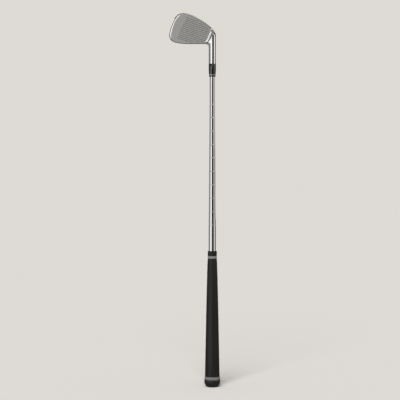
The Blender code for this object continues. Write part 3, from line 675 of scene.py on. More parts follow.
def add_neck(bm, ring, starts, directions, shelves):
    """Joins the ring round the heel to the hosel, each of its points along its own curve or over the shelf.
    Gives back the faces of the wall."""
    broken = (HOSEL_RADIUS - MOUTH_BREAK) / HOSEL_RADIUS
    rings = [
        [bm.verts.new((co.x * broken, co.y * broken, HOSEL_END)) for co in starts],
        [bm.verts.new((co.x, co.y, HOSEL_END + MOUTH_BREAK)) for co in starts],
        [bm.verts.new(co) for co in starts],
    ]
    for k in range(1, NECK_RINGS):
        row = []
        for start, end, direction, (kept, path) in zip(starts, ring, directions, shelves):
            reach = (end.co - start).length
            toe_side = max(0.0, -start.x / HOSEL_RADIUS)
            leaving = Vector((0.0, 0.0, reach * (1 - NECK_EARLY_TURN * toe_side**2)))
            point = neck_point(k / NECK_RINGS, start, leaving, end.co, direction * reach)
            row.append(point.lerp(path[k - 1], kept) if path else point)
        for step in SMOOTHING_STEPS * round(NECK_SMOOTHING * sin(pi * k / NECK_RINGS)):
            middles = [(row[j - 1] + row[(j + 1) % len(row)]) / 2 for j in range(len(row))]
            row = [point.lerp(middle, step) for point, middle in zip(row, middles)]
        rings.append([bm.verts.new(point) for point in row])
    rings.append(ring)
    bm.faces.new(rings[0])
    made = [bridge(bm, this, following) for this, following in zip(rings, rings[1:])]
    wall = []
    for k in WALL_RINGS:
        wall += [face for face, (kept, _) in zip(made[k], shelves) if kept > WALL_SHARE]
    return wall


FACE_SLOT, POLISH_SLOT, BACK_SLOT, CAVITY_SLOT, WALL_SLOT, EDGE_SLOT, RIM_SLOT = range(7)


def head_mesh():
    """The blade, its neck and the hosel as one closed mesh, not yet bored or hollowed."""
    bm = bmesh.new()
    columns = []
    for place, out in OUTLINE:
        column = []
        for outward, depth in edge_profile(place, out):
            flat = place + out * outward
            column.append(bm.verts.new(BLADE @ Vector((flat.x, flat.y, -depth))))
        columns.append(column)
    satin_edge_painted_highlight, soft_rim, crisp_rim = [], [], []
    for this, following, (_, out) in zip(columns, columns[1:], OUTLINE):
        for k in range(len(this) - 1):
            face = bm.faces.new((this[k], this[k + 1], following[k + 1], following[k]))
            if k == 0:
                (crisp_rim if out.y > CRISP_RIM_START else soft_rim).append(face)
            # Faces of the leading edge, which wear a brighter copy of the face's satin: a painted highlight
            elif k < SATIN_EDGE_ROWS and out.y < 0 and out.x < SATIN_EDGE_END:
                satin_edge_painted_highlight.append(face)
    first, last = columns[0], columns[-1]
    front = []
    for share in even_steps(0.0, 1.0, FRONT_PIECES)[1:-1]:
        shift = HEEL_LINE_SHIFT * within(share, HEEL_LINE_START, HEEL_LINE_STOP)
        front.append(bm.verts.new(first[0].co.lerp(last[0].co, share) - TOEWARD * shift))
    back = [bm.verts.new(last[-1].co.lerp(first[-1].co, k / BACK_PIECES)) for k in range(1, BACK_PIECES)]

    # The ring round the heel: its front, sole, back and topline, and how the neck runs on into each
    sides = (
        ([first[0]] + front, cos(NECK_BEVEL) * TOEWARD - sin(NECK_BEVEL) * OUTWARD),
        (last[:-1], in_face(-heading(OUTLINE_KNOTS[-1][1]))),
        ([last[-1]] + back, (TOEWARD - BACK_SLOPE.x * OUTWARD).normalized()),
        (first[:0:-1], in_face(heading(OUTLINE_KNOTS[0][1]))),
    )
    ring, turns, directions = [], [], []
    for (verts, direction), start, end in zip(sides, NECK_SIDES, (*NECK_SIDES[1:], NECK_SIDES[0] + 360.0)):
        ring += verts
        turns += [radians(turn) for turn in even_steps(start, end, len(verts))[:-1]]
        directions += [direction] * len(verts)
    for k in range(FRONT_PIECES):
        turns[k] = radians(between(NECK_SPREAD, k / FRONT_PIECES))
    starts = [hosel_point(turn) for turn in turns]
    shelves = [(0.0, None)] * len(ring)
    for k in range(FRONT_PIECES):
        path = shelf_path(degrees(turns[k]), starts[k], ring[k].co)
        shelves[k] = (within(k / FRONT_PIECES, SHELF_START, SHELF_STOP), path)
    wall = add_neck(bm, ring, starts, eased_round(directions), shelves)
    for face in bm.faces:
        face.material_index = POLISH_SLOT
        face.smooth = True
    flat_front = bm.faces.new([column[0] for column in columns] + front[::-1])
    flat_back = bm.faces.new([column[-1] for column in reversed(columns)] + back[::-1])
    groups = (wall, WALL_SLOT), ((flat_front, *crisp_rim), FACE_SLOT), (soft_rim, RIM_SLOT)
    for faces, slot in (*groups, (satin_edge_painted_highlight, EDGE_SLOT), ((flat_back,), BACK_SLOT)):
        for face in faces:
            face.material_index = slot
    bmesh.ops.recalc_face_normals(bm, faces=bm.faces)
    mesh = mesh_from(bm)
    mesh.set_sharp_from_angle(angle=SHARP_ANGLE)
    return mesh


# The cavity


def cavity_corners(inset):
    """The cavity's corners in the face's plane, clockwise from heel top, each side moved in by the inset."""
    top_slope = tan(radians(OUTLINE_KNOTS[0][1]))
    top_heel = HEEL_TOP[1] + top_slope * (CAVITY_HEEL - HEEL_TOP[0]) - CAVITY_TOP_RIM
    toe = TOE_TIP[0] - CAVITY_TOE_RIM
    sole_slope = (HEEL_LOW[1] - SOLE_LOW[1]) / (SOLE_LOW[0] - HEEL_LOW[0])
    corners = [
        Vector((CAVITY_HEEL, top_heel)),
        Vector((toe, PEAK[1] - CAVITY_TOP_RIM)),
        Vector((toe, CAVITY_SOLE_RIM)),
        Vector((CAVITY_HEEL, CAVITY_SOLE_RIM + sole_slope * (SOLE_LOW[0] - CAVITY_HEEL))),
    ]
    moved = []
    for k, corner in enumerate(corners):
        before = (corner - corners[k - 1]).normalized()
        after = (corners[(k + 1) % len(corners)] - corner).normalized()
        inward = (Vector((before.y, -before.x)) + Vector((after.y, -after.x))).normalized()
        moved.append(corner + inward * inset / sin(before.angle(-after) / 2))
    return moved


def cavity_ring(inset, depth, from_back=False):
    """The cavity's outline with round corners, set in by the inset, at a depth behind the face or back."""
    corners = cavity_corners(inset)
    ring = []
    for k, (corner, radius) in enumerate(zip(corners, CAVITY_RADII)):
        radius -= inset
        before = corners[k - 1] - corner
        after = corners[(k + 1) % len(corners)] - corner
        half = before.angle(after) / 2
        back, ahead = before.normalized(), after.normalized()
        middle = corner + (back + ahead).normalized() * radius / sin(half)
        start = corner + back * radius / tan(half) - middle
        sweep = (pi - 2 * half) * copysign(1.0, ahead.cross(back))
        for turn in even_steps(0.0, sweep, ARC_PIECES):
            p = middle + Matrix.Rotation(turn, 2) @ start
            ring.append((p.x, p.y, -(BACK_DEPTH + BACK_SLOPE.dot(p) + depth if from_back else depth)))
    return ring


def lofted(rings):
    """A closed mesh on the blade through rings of as many points each, with a flat face at both ends."""
    bm = bmesh.new()
    made = [[bm.verts.new(point) for point in ring] for ring in rings]
    for this, following in zip(made, made[1:]):
        bridge(bm, this, following)
    bm.faces.new(made[0])
    bm.faces.new(made[-1][::-1])
    bmesh.ops.recalc_face_normals(bm, faces=bm.faces)
    mesh = mesh_from(bm)
    mesh.transform(BLADE)
    return smoothed(mesh)


def cavity_cutter():
    """The pocket in the back, with a softened lip and a filleted floor."""
    rings = [cavity_ring(-CAVITY_LIP, CUT_OVERRUN, True)]
    for turn in even_steps(CAVITY_LIP_TURN, 0.0, FILLET_PIECES):
        rings.append(cavity_ring(CAVITY_LIP * (cos(turn) - 1), CAVITY_LIP * (sin(turn) - 1), True))
    for turn in even_steps(0.0, pi / 2, FILLET_PIECES):
        depth = FACE_THICKNESS + CAVITY_FILLET * (1 - sin(turn))
        rings.append(cavity_ring(CAVITY_FILLET * (1 - cos(turn)), depth))
    return lofted(rings)


# The scorelines


def scoreline_guide(settings):
    """One edge along the middle of each scoreline, in the face's own plane."""
    border = [place - out * SCORE_EDGE_MARGIN for place, out in OUTLINE]
    verts, edges = [], []
    for k in range(settings.groove_count):
        height = settings.groove_first + k * settings.groove_pitch
        crossings = []
        for a, b in zip(border, border[1:] + border[:1]):
            if (a.y - height) * (b.y - height) < 0:
                crossings.append(a.x + (b.x - a.x) * (height - a.y) / (b.y - a.y))
        low = max(min(crossings), SCORE_HEEL_PLACE + height * SCORE_END_TILT)
        high = min(max(crossings), BLADE_REACH - SCORE_TOE_MARGIN + height * SCORE_END_TILT)
        edges.append((len(verts), len(verts) + 1))
        verts += [(low, height, 0.0), (high, height, 0.0)]
    mesh = bpy.data.meshes.new("scoreline_guide")
    mesh.from_pydata(verts, edges, [])
    guide = new_object("scoreline_guide", mesh)
    guide.matrix_world = BLADE
    return guide


def scorelines(tree, given):
    """Cuts a V-shaped groove along each edge of a guide into the geometry."""
    guide = add_node(tree, "GeometryNodeObjectInfo", {"Object": given["Guide"]}).outputs
    line = geo(tree, "MeshToCurve", {0: guide["Geometry"]})
    line = geo(tree, "SetCurveNormal", {0: line}, mode="Z_UP")
    # A circle of four points, squashed to the groove's width and depth, stands on one corner
    profile = geo(tree, "CurvePrimitiveCircle", {"Resolution": 4, "Radius": 1.0})
    size = vector(tree, given["Depth"], given["Width"] / 2.0, 1.0)
    profile = geo(tree, "Transform", {0: profile, "Scale": size})
    bars = geo(tree, "CurveToMesh", {0: line, 1: profile, "Fill Caps": True})
    bars = geo(tree, "Transform", {0: bars, "Transform": guide["Transform"]}, mode="MATRIX")
    mark = {"Name": "groove"}
    inputs = {0: bars, **mark, "Value": True}
    bars = geo(tree, "StoreNamedAttribute", inputs, data_type="BOOLEAN", domain="FACE")
    groove = geo(tree, "InputNamedAttribute", mark, data_type="BOOLEAN")
    return without(tree, given["Geometry"], bars), groove


# Materials

# What noise is read from, as it seldom leaves this range
NOISE_RANGE = (0.3, 0.7)
METAL = {"Metallic": 1.0}
RUBBER = {"Roughness": 0.65, "Specular IOR Level": 0.3}
RUBBER_NOISES = ((3200, 3, 0.6), (55, 4, 0.6, (1, 1, 2.5)))
RUBBER_SKIN = ((0, 0.05, 0.5),)
DAMPER_SHADE = (0.02, 0.02, 0.02)
BRASS_SHADE = (0.66, 0.48, 0.22)
PAPER_SHADE = (0.62, 0.58, 0.48)
# A finish is its noises, each with its scale, detail, roughness, stretch and whether it lies along the face;
# the noise that tints the shade, and its least and most brightness; the noises that add up to the roughness,
# each with its least and most; the noises that stand in relief, each with its depth in millimetres and its
# strength; and constants of the shader
FINISHES = {
    "blasted_face": (
        ((5200, 3, 0.6), (900, 2, 0.5, (8, 0.16, 1), True), (60, 3)),
        (2, 0.92, 1.08),
        ((0, 0.36, 0.48), (2, -0.03, 0.03)),
        ((0, 0.02, 0.6), (1, 0.02, 0.6)),
        METAL | {"Roughness": 0.42},
    ),
    # Scorelines: a darker copy of the face's tone, which is painted shade in the grooves; the noise stretched
    # along them is their milling
    "groove_steel_painted_shade": (
        ((3000, 2, 0.5, (6, 1, 1), True),), (0, 0.6, 0.9), (), ((0, 0.02, 0.5),), METAL | {"Roughness": 0.5},
    ),
    "polished_steel": (
        ((45, 3), (3500, 2, 0.5, (1, 1, 14))),
        (0, 0.95, 1.04),
        ((0, 0.055, 0.085), (1, 0.0, 0.03)),
        ((1, 0.002, 0.4),),
        METAL | {"Roughness": 0.12},
    ),
    "satin_back": (
        ((4000, 3, 0.6, (30, 1, 1), True), (50, 3)),
        (1, 0.93, 1.06),
        ((0, 0.24, 0.38),),
        ((0, 0.006, 0.6),),
        METAL | {"Roughness": 0.3},
    ),
    "satin_wall": (
        ((3000, 3, 0.6),),
        (0, 0.94, 1.04),
        ((0, 0.16, 0.24),),
        ((0, 0.004, 0.4),),
        METAL | {"Roughness": 0.4},
    ),
    "cavity_steel": (
        ((3800, 3, 0.6),), (0, 0.55, 0.75), ((0, 0.42, 0.58),), ((0, 0.03, 0.6),), METAL | {"Roughness": 0.5},
    ),
    "badge_metal": (
        ((5000, 3, 0.7, (60, 1, 1), True),),
        (0, 0.8, 1.2),
        ((0, 0.25, 0.42),),
        ((0, 0.006, 0.6),),
        METAL | {"Roughness": 0.3},
    ),
    "chrome_plate": (
        ((70, 4, 0.6, (1, 1, 3)), (3000, 2, 0.5, (1, 1, 40))),
        (0, 0.97, 1.02),
        ((0, 0.03, 0.07),),
        ((1, 0.0008, 0.3),),
        METAL | {"Roughness": 0.06},
    ),
    "plug_brass": (
        ((2500, 2, 0.5, (12, 12, 1)),), (0, 0.85, 1.1), ((0, 0.28, 0.42),), (), METAL | {"Roughness": 0.35},
    ),
    "trim_metal": (
        ((6000, 2, 0.5, (20, 20, 1)),),
        (0, 0.85, 1.1),
        ((0, 0.2, 0.34),),
        ((0, 0.004, 0.4),),
        METAL | {"Roughness": 0.25},
    ),
    "ferrule_plastic": (
        ((500, 3, 0.5, (6, 6, 1)),),
        (0, 0.8, 1.4),
        ((0, 0.045, 0.08),),
        ((0, 0.004, 0.3),),
        {"Roughness": 0.1, "IOR": 1.6, "Specular IOR Level": 1.0},
    ),
    "soft_rubber": (RUBBER_NOISES, (1, 0.65, 1.35), ((1, 0.36, 0.5),), RUBBER_SKIN, RUBBER),
    "band_rubber": (RUBBER_NOISES, (1, 0.88, 1.12), ((1, 0.45, 0.6),), RUBBER_SKIN, RUBBER),
    "cap_rubber": (
        RUBBER_NOISES, (1, 0.7, 1.3), ((1, 0.2, 0.3),), RUBBER_SKIN, RUBBER | {"Specular IOR Level": 1.0},
    ),
    "tape_paper": (
        ((1500, 4, 0.7, (1, 1, 5)),),
        (0, 0.8, 1.1),
        ((0, 0.75, 0.95),),
        ((0, 0.05, 0.5),),
        {"Roughness": 0.85},
    ),
    "studio_floor": (((0.6, 2),), (0, 0.995, 1.005), (), (), {"Roughness": 1.0, "Specular IOR Level": 0.0}),
}


def noise(tree, scale, detail, roughness=0.5, stretch=(1, 1, 1), along_face=False):
    """Noise on Object coordinates, stretched along the axes, or toeward, up the face and out of it."""
    turn = BLADE.to_euler() if along_face else (0.0, 0.0, 0.0)
    place = add_node(tree, "ShaderNodeTexCoord").outputs["Object"]
    inputs = {"Vector": place, "Rotation": turn, "Scale": stretch}
    place = add_node(tree, "ShaderNodeMapping", inputs, vector_type="TEXTURE").outputs[0]
    inputs = {"Vector": place, "Scale": scale, "Detail": detail, "Roughness": roughness}
    return add_node(tree, "ShaderNodeTexNoise", inputs).outputs["Fac"]


def finish(name, shade, kind=None):
    """A material in this shade, with the finish of its own name or of another kind."""
    noises, (tinting, least, most), rough, relief, values = FINISHES[kind or name]
    material = bpy.data.materials.new(name)
    material.use_nodes = True
    tree = material.node_tree
    shader = tree.nodes["Principled BSDF"].inputs
    for key, value in values.items():
        shader[key].default_value = value
    made = [noise(tree, *row) for row in noises]
    tones = {key: (*(channel * tone for channel in shade), 1.0) for key, tone in ((6, least), (7, most))}
    mixed = add_node(tree, "ShaderNodeMix", {0: made[tinting], **tones}, data_type="RGBA").outputs[2]
    tree.links.new(mixed, shader["Base Color"])
    total = None
    for which, low, high in rough:
        inputs = dict(enumerate((made[which], *NOISE_RANGE, low, high)))
        part = Number(add_node(tree, "ShaderNodeMapRange", inputs).outputs[0])
        total = total + part if total else part
    if total:
        tree.links.new(total.socket, shader["Roughness"])
    below = {}
    for which, depth, strength in relief:
        inputs = {"Height": made[which], "Distance": depth * MM, "Strength": strength, **below}
        below["Normal"] = add_node(tree, "ShaderNodeBump", inputs).outputs[0]
    if below:
        tree.links.new(below["Normal"], shader["Normal"])
    return material


def dress_node(node, material):
    """Gives a CAD node that stays a better material."""
    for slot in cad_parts[node].material_slots:
        slot.material = material


# Operators


class GOLFIRON_OT_head(bpy.types.Operator):
    """Builds the head: blade, neck and hosel, with its scorelines, bore and cavity"""

    bl_idname = "golf_iron.head"
    bl_label = "Head"

    def execute(self, context):
        settings = context.scene.iron_head
        face = settings.face_colour
        materials = [
            finish("blasted_face", face),
            finish("polished_steel", settings.polish_colour),
            finish("satin_back", settings.back_colour),
            finish("cavity_steel", settings.back_colour),
            finish("satin_wall", settings.polish_colour),
            # A brighter copy of the face's satin for the leading edge: a painted highlight
            finish("satin_edge_painted_highlight", [channel * SATIN_EDGE_HIGHLIGHT_GAIN for channel in face], "blasted_face"),
            finish("face_rim", face, "blasted_face"),
        ]
        # The grooves wear the face's colour darkened: painted shade
        groove = finish("groove_steel_painted_shade", face)
        solid = head_mesh()
        for material in materials:
            solid.materials.append(material)
        head = new_object("head_blank", solid)
        low, high = HOSEL_END - CUT_OVERRUN, HOSEL_BORE_END
        bore = turned([(0.0, high), (0.0, low), (HOSEL_BORE, low), (HOSEL_BORE, high)])
        guide = scoreline_guide(settings)
        helpers = [guide]
        for mesh, slot in ((cavity_cutter(), CAVITY_SLOT), (bore, POLISH_SLOT)):
            mesh.materials.append(materials[slot])
            helpers.append(new_object("cutter", mesh))
            boolean = head.modifiers.new("cut", "BOOLEAN")
            boolean.operation = "DIFFERENCE"
            boolean.material_mode = "TRANSFER"
            boolean.object = helpers[-1]
        size = {"Width": settings.groove_width, "Depth": settings.groove_depth}
        mesh = shaped_by("Scorelines", scorelines, head, {"Guide": guide, **size, "Finish": groove})
        for helper in helpers:
            bpy.data.objects.remove(helper)

        # Finding the sharp edges also clears what is flat, so the flat faces come after it
        mesh.set_sharp_from_angle(angle=SHARP_ANGLE)
        flat = (materials[FACE_SLOT], materials[BACK_SLOT], groove)
        for polygon in mesh.polygons:
            polygon.use_smooth = mesh.materials[polygon.material_index] not in flat
        finished("iron_head", mesh, "head", "head_steel")
        return {"FINISHED"}


class GOLFIRON_OT_badge(bpy.types.Operator):
    """Builds the bare plate in the cavity, and finishes the damping pad under it"""

    bl_idname = "golf_iron.badge"
    bl_label = "Cavity Badge"

    def execute(self, context):
        mesh = lofted([cavity_ring(inset * MM, depth * MM) for inset, depth in BADGE_LAYERS])
        metal = finish("badge_metal", context.scene.iron_head.badge_colour)
        finished("back_badge", mesh, "cavity_badge", "badge_metal", metal)
        dress_node("badge_damper", finish("damper_rubber", DAMPER_SHADE, "soft_rubber"))
        return {"FINISHED"}


# The shaft


def switched(condition, otherwise, value):
    inputs = {0: condition, 1: otherwise, 2: value}
    return Number(geo(condition.socket.id_data, "Switch", inputs, input_type="FLOAT"))


def stepped_tube(tree, given):
    """A hollow tube up Z that narrows in even steps, each of them a short eased ramp."""
    butt, neck, tip = (given[name + " Radius"] for name in ("Butt", "Neck", "Tip"))
    index = Number(geo(tree, "InputIndex"))

    # Each ring's step, and how far down the ramp it lies
    order = index - 1.0
    step = (order / STEP_RINGS).calc("FLOOR")
    along = (order - step * STEP_RINGS) * ((1.0 + 2 * RAMP_SPARE) / (STEP_RINGS - 1.0)) - RAMP_SPARE
    down = along.calc("ADD", 0.0, clamp=True)
    narrowed = (step + down * down * (down * -2.0 + 3.0)) / given["Steps"]

    # The first ring is the butt's end. The last ones run from the ferrule's mouth into the hosel
    at_butt = index < 0.5
    height = along * given["Step Ramp"] + (step * given["Step Pitch"] + given["First Step"])
    height = switched(at_butt, height, given["Butt Height"])
    radius = switched(at_butt, narrowed * (neck - butt) + butt, butt)
    ramps = given["Steps"] * STEP_RINGS
    ramp_low = given["Neck Height"] + given["Step Ramp"]
    ramp_high = ramp_low + given["Step Ramp"]
    ends = ((given["Neck Height"], neck), (ramp_low, neck), (ramp_high, tip), (given["Tip Height"], tip))
    for number, (end_height, end_radius) in enumerate(ends):
        beyond = index - ramps > number + 0.5
        height = switched(beyond, height, end_height)
        radius = switched(beyond, radius, end_radius)
    line = geo(tree, "MeshLine", {"Count": ramps + (1.0 + len(ends)), "Offset": (0.0, 0.0, 0.0)})
    line = geo(tree, "SetPosition", {0: line, "Position": vector(tree, 0.0, 0.0, height)})
    mark = {"Name": "radius_here"}
    line = geo(tree, "StoreNamedAttribute", {0: line, **mark, "Value": radius})
    kept = Number(geo(tree, "InputNamedAttribute", mark, data_type="FLOAT"))
    circle = geo(tree, "CurvePrimitiveCircle", {"Resolution": ROUND_STEPS, "Radius": 1.0})

    # The bore runs out past both ends, so that the cut leaves them open
    overrun = vector(tree, 0.0, 0.0, at_butt * -CUT_OVERRUN + beyond * CUT_OVERRUN)
    bore = geo(tree, "SetPosition", {0: line, "Offset": overrun})
    solids = []
    for path, scale in ((line, kept), (bore, kept - given["Wall"])):
        curve = geo(tree, "MeshToCurve", {0: path})
        solids.append(geo(tree, "CurveToMesh", {0: curve, 1: circle, "Scale": scale, "Fill Caps": True}))
    return without(tree, *solids), True


class GOLFIRON_OT_shaft(bpy.types.Operator):
    """Builds the stepped chrome shaft, and finishes the swing weight in its tip"""

    bl_idname = "golf_iron.shaft"
    bl_label = "Shaft"

    def execute(self, context):
        settings = context.scene.iron_shaft
        values = {
            "Butt Radius": settings.butt_radius,
            "Neck Radius": settings.neck_radius,
            "Tip Radius": settings.tip_radius,
            "Wall": settings.wall,
            "First Step": settings.first_step,
            "Step Pitch": settings.step_pitch,
            "Step Ramp": settings.step_ramp,
            "Butt Height": SHAFT_BUTT_END,
            "Neck Height": FERRULE_END,
            "Tip Height": SHAFT_TIP_END,
            "Steps": settings.steps,
            "Finish": finish("chrome_plate", settings.chrome_colour),
        }
        guide = new_object("shaft_guide", bpy.data.meshes.new("shaft_guide"))
        mesh = smoothed(shaped_by("Stepped Tube", stepped_tube, guide, values))
        finished("stepped_shaft", mesh, "shaft", "shaft_chrome")
        dress_node("tip_plug", finish("plug_brass", BRASS_SHADE))
        return {"FINISHED"}


# The ferrule


class GOLFIRON_OT_ferrule(bpy.types.Operator):
    """Builds the ferrule that covers the joint of shaft and hosel, and its trim ring"""

    bl_idname = "golf_iron.ferrule"
    bl_label = "Ferrule"

    def execute(self, context):
        settings = context.scene.iron_ferrule
        taper = FERRULE_LENGTH - FERRULE_STRAIGHT

        def radius(height):
            """Parallel, then rounding down to the lip."""
            down = max(0.0, (taper - height) / taper)
            return settings.radius - (settings.radius - settings.lip_radius) * down**FERRULE_TAPER

        bore = context.scene.iron_shaft.neck_radius + SEAT_GAP
        top = FERRULE_LENGTH - SEAT_GAP
        low = settings.ring_low
        high = low + settings.ring_width
        groove = radius(low) - TRIM_RING_DEPTH
        corners = [(settings.radius, top, FERRULE_ROUND)]
        corners += [(radius(height), height) for height in even_steps(taper, high, FERRULE_PIECES[0])]
        corners += [(groove, high), (groove, low)]
        lip = even_steps(low, FERRULE_LIP_BREAK, FERRULE_PIECES[1])
        corners += [(radius(height), height) for height in lip]
        corners.append((settings.lip_radius - FERRULE_LIP_BREAK, 0.0, FERRULE_LIP_ROUND))
        corners += [(bore, 0.0), (bore, top)]
        plastic = finish("ferrule_plastic", settings.plastic_colour)
        finished("ferrule_sleeve", turned(corners, FERRULE_END), "ferrule", "ferrule_black", plastic)

        low += SEAT_GAP / 2
        high -= SEAT_GAP / 2
        middle = (low + high) / 2
        corners = [
            (radius(high), high, FERRULE_ROUND),
            (radius(middle) + TRIM_RING_CROWN, middle, TRIM_RING_ROUND),
            (radius(low), low, FERRULE_ROUND),
            (groove + TRIM_RING_GAP, low),
            (groove + TRIM_RING_GAP, high),
        ]
        metal = finish("trim_metal", settings.ring_colour)
        finished("trim_ring", turned(corners, FERRULE_END), "ferrule_trim_ring", "trim_metal", metal)
        return {"FINISHED"}


# The grip


def sleeve_radius(settings, height):
    """Outer radius of the sleeve at a height between its two bands."""
    down = (MOUTH_BAND_LOW - height) / (MOUTH_BAND_LOW - BUTT_BAND_HIGH)
    return settings.mouth_radius + (settings.butt_radius - settings.mouth_radius) * down**SLEEVE_SWELL


def traction_pads(tree, given):
    """Adds rows of small raised pads to a sleeve whose radius swells by a power of its height."""
    index = Number(geo(tree, "InputIndex"))
    columns = given["Columns"]
    row = (index / columns).calc("FLOOR")
    turn = (row % 2.0 * 0.5 + (index - row * columns)) * (2 * pi) / columns
    height = (row + 0.5) * ((given["High"] - given["Low"]) / given["Rows"]) + given["Low"]
    down = (given["Sleeve High"] - height) / (given["Sleeve High"] - given["Sleeve Low"])
    mouth = given["Mouth Radius"]
    radius = down ** given["Swell"] * (given["Butt Radius"] - mouth) + mouth
    across, ahead = turn.calc("COSINE"), turn.calc("SINE")
    place = vector(tree, across * radius, ahead * radius, height)
    points = geo(tree, "MeshLine", {"Count": given["Rows"] * columns, "Offset": (0.0, 0.0, 0.0)})
    points = geo(tree, "SetPosition", {0: points, "Position": place})
    inputs = {0: vector(tree, across, ahead, 0.0), 1: (0.0, 0.0, 1.0)}
    axes = {"primary_axis": "Z", "secondary_axis": "Y"}
    stance = add_node(tree, "FunctionNodeAxesToRotation", inputs, **axes).outputs[0]
    inputs = {"Vertices": PAD_SIDES, "Radius Top": PAD_TOP, "Radius Bottom": 1.0, "Depth": 2.0}
    pad = geo(tree, "MeshCone", inputs, fill_type="NGON")
    pad = geo(tree, "Transform", {0: pad, "Translation": (0.0, 0.0, -1.0)})
    size = vector(tree, given["Pad Width"] / 2.0, given["Pad Length"] / 2.0, given["Pad Height"])
    pads = geo(tree, "InstanceOnPoints", {0: points, "Instance": pad, "Rotation": stance, "Scale": size})
    joined = add_node(tree, "GeometryNodeJoinGeometry", {0: given["Geometry"]})
    tree.links.new(pads, joined.inputs[0])
    return joined.outputs[0], True


class GOLFIRON_OT_grip(bpy.types.Operator):
    """Builds the rubber sleeve with its traction pads, and finishes the tape under it"""

    bl_idname = "golf_iron.grip"
    bl_label = "Grip Sleeve"

    def execute(self, context):
        settings = context.scene.iron_grip
        mouth = settings.mouth_radius
        hug = context.scene.iron_shaft.butt_radius + SEAT_GAP
        tape_bore = context.scene.iron_shaft.butt_radius + 2 * SEAT_GAP + TAPE_THICKNESS
        start = CAP_LENGTH + SEAT_GAP
        mouth_floor = mouth - MOUTH_BAND_DEPTH - SEAT_GAP
        butt_floor = settings.butt_radius - BUTT_BAND_DEPTH - SEAT_GAP
        corners = [
            (mouth - MOUTH_TAPER, GRIP_LENGTH, MOUTH_ROUND),
            (mouth, COLLAR_LOW, BAND_SEAT_ROUND),
            (mouth_floor, COLLAR_LOW),
            (mouth_floor, MOUTH_BAND_LOW),
            (mouth, MOUTH_BAND_LOW, BAND_SEAT_ROUND),
        ]
        for down in even_steps(0.0, SLEEVE_PLAIN_SHARE, SLEEVE_PIECES)[1:]:
            height = MOUTH_BAND_LOW + (BUTT_BAND_HIGH - MOUTH_BAND_LOW) * down**SLEEVE_CROWDING
            corners.append((sleeve_radius(settings, height), height))
        for down in even_steps(0.0, 1.0, FLARE_PIECES)[1:-1]:
            height = BUTT_BAND_HIGH + SLEEVE_FLARE_LENGTH * (1 - down)
            flare = (BUTT_FLARE_START - settings.butt_radius) * down**2
            corners.append((sleeve_radius(settings, height) + flare, height))
        corners += [
            (BUTT_FLARE_START, BUTT_BAND_HIGH, BAND_ROUND),
            (butt_floor, BUTT_BAND_HIGH),
            (butt_floor, start),
            (tape_bore, start),
            (tape_bore, HUG_LOW - HUG_RAMP),
            (hug, HUG_LOW),
            (hug, GRIP_LENGTH, MOUTH_BORE_ROUND),
        ]
        values = {
            "Low": BUTT_BAND_HIGH + PAD_BUTT_MARGIN,
            "High": MOUTH_BAND_LOW - PAD_MARGIN,
            "Sleeve Low": BUTT_BAND_HIGH,
            "Sleeve High": MOUTH_BAND_LOW,
            "Mouth Radius": mouth,
            "Butt Radius": settings.butt_radius,
            "Swell": SLEEVE_SWELL,
            "Pad Width": PAD_WIDTH,
            "Pad Length": PAD_LENGTH,
            "Pad Height": settings.mark_height,
            "Rows": settings.mark_rows,
            "Columns": settings.mark_columns,
            "Finish": finish("grip_rubber", settings.rubber_colour, "soft_rubber"),
        }
        sleeve = new_object("sleeve_guide", turned(corners))
        mesh = smoothed(shaped_by("Traction Pads", traction_pads, sleeve, values))
        finished("grip_rubber_sleeve", mesh, "grip_sleeve", "grip_rubber")
        dress_node("grip_tape", finish("tape_paper", PAPER_SHADE))
        return {"FINISHED"}


class GOLFIRON_OT_bands(bpy.types.Operator):
    """Builds the two pale rings set into the grip"""

    bl_idname = "golf_iron.bands"
    bl_label = "Grip Bands"

    def execute(self, context):
        settings = context.scene.iron_grip
        mouth = (settings.mouth_radius, settings.mouth_radius, settings.mouth_radius - MOUTH_BAND_DEPTH)
        butt = (BUTT_FLARE_START, BUTT_FLARE, settings.butt_radius - BUTT_BAND_DEPTH)
        # Each band gets its own colour, lighter at the mouth and darker at the butt: painted light and shade
        # on one rubber
        for name, (high_radius, low_radius, floor), low, high, shade in (
            ("mouth_band", mouth, MOUTH_BAND_LOW, COLLAR_LOW, settings.mouth_band_colour),
            ("butt_band", butt, CAP_LENGTH, BUTT_BAND_HIGH, settings.butt_band_colour),
        ):
            low += SEAT_GAP
            high -= SEAT_GAP
            corners = [
                (high_radius, high, BAND_ROUND),
                ((high_radius + low_radius) / 2, (low + high) / 2, BAND_CROWN_ROUND),
                (low_radius, low, BAND_ROUND),
                (floor, low),
                (floor, high),
            ]
            rubber = finish(name + "_rubber", shade, "band_rubber")
            finished(name, turned(corners), "grip_" + name, name + "_grey", rubber)
        return {"FINISHED"}


class GOLFIRON_OT_cap(bpy.types.Operator):
    """Builds the bulged end cap that the club stands on, with its socket and vent"""

    bl_idname = "golf_iron.cap"
    bl_label = "End Cap"

    def execute(self, context):
        settings = context.scene.iron_grip
        socket = context.scene.iron_shaft.butt_radius + SEAT_GAP
        corners = []
        for turn in even_steps(0.0, pi / 2, CAP_CROWN_PIECES):
            radius = BUTT_FLARE + (settings.cap_radius - BUTT_FLARE) * sin(turn)
            corners.append((radius, CAP_LENGTH - CAP_CROWN * (1 - cos(turn))))
        for turn in even_steps(0.0, pi / 2, CAP_CORNER_PIECES):
            radius = settings.cap_radius - CAP_CORNER_RADIUS * (1 - cos(turn) ** CAP_CORNER_POWER)
            corners.append((radius, CAP_CORNER_RISE * (1 - sin(turn) ** CAP_CORNER_POWER)))
        corners += [(VENT_RADIUS, 0.0, VENT_ROUND), (VENT_RADIUS, CAP_FLOOR)]
        corners += [(socket, CAP_FLOOR), (socket, CAP_LENGTH)]
        rubber = finish("cap_rubber", settings.cap_colour)
        finished("end_cap", turned(corners), "grip_end_cap", "cap_rubber", rubber)
        return {"FINISHED"}


# The studio


def level_disc(place, radius):
    bm = bmesh.new()
    bmesh.ops.create_circle(bm, cap_ends=True, segments=DISC_PIECES, radius=radius)
    bmesh.ops.translate(bm, verts=bm.verts, vec=place)
    return mesh_from(bm)


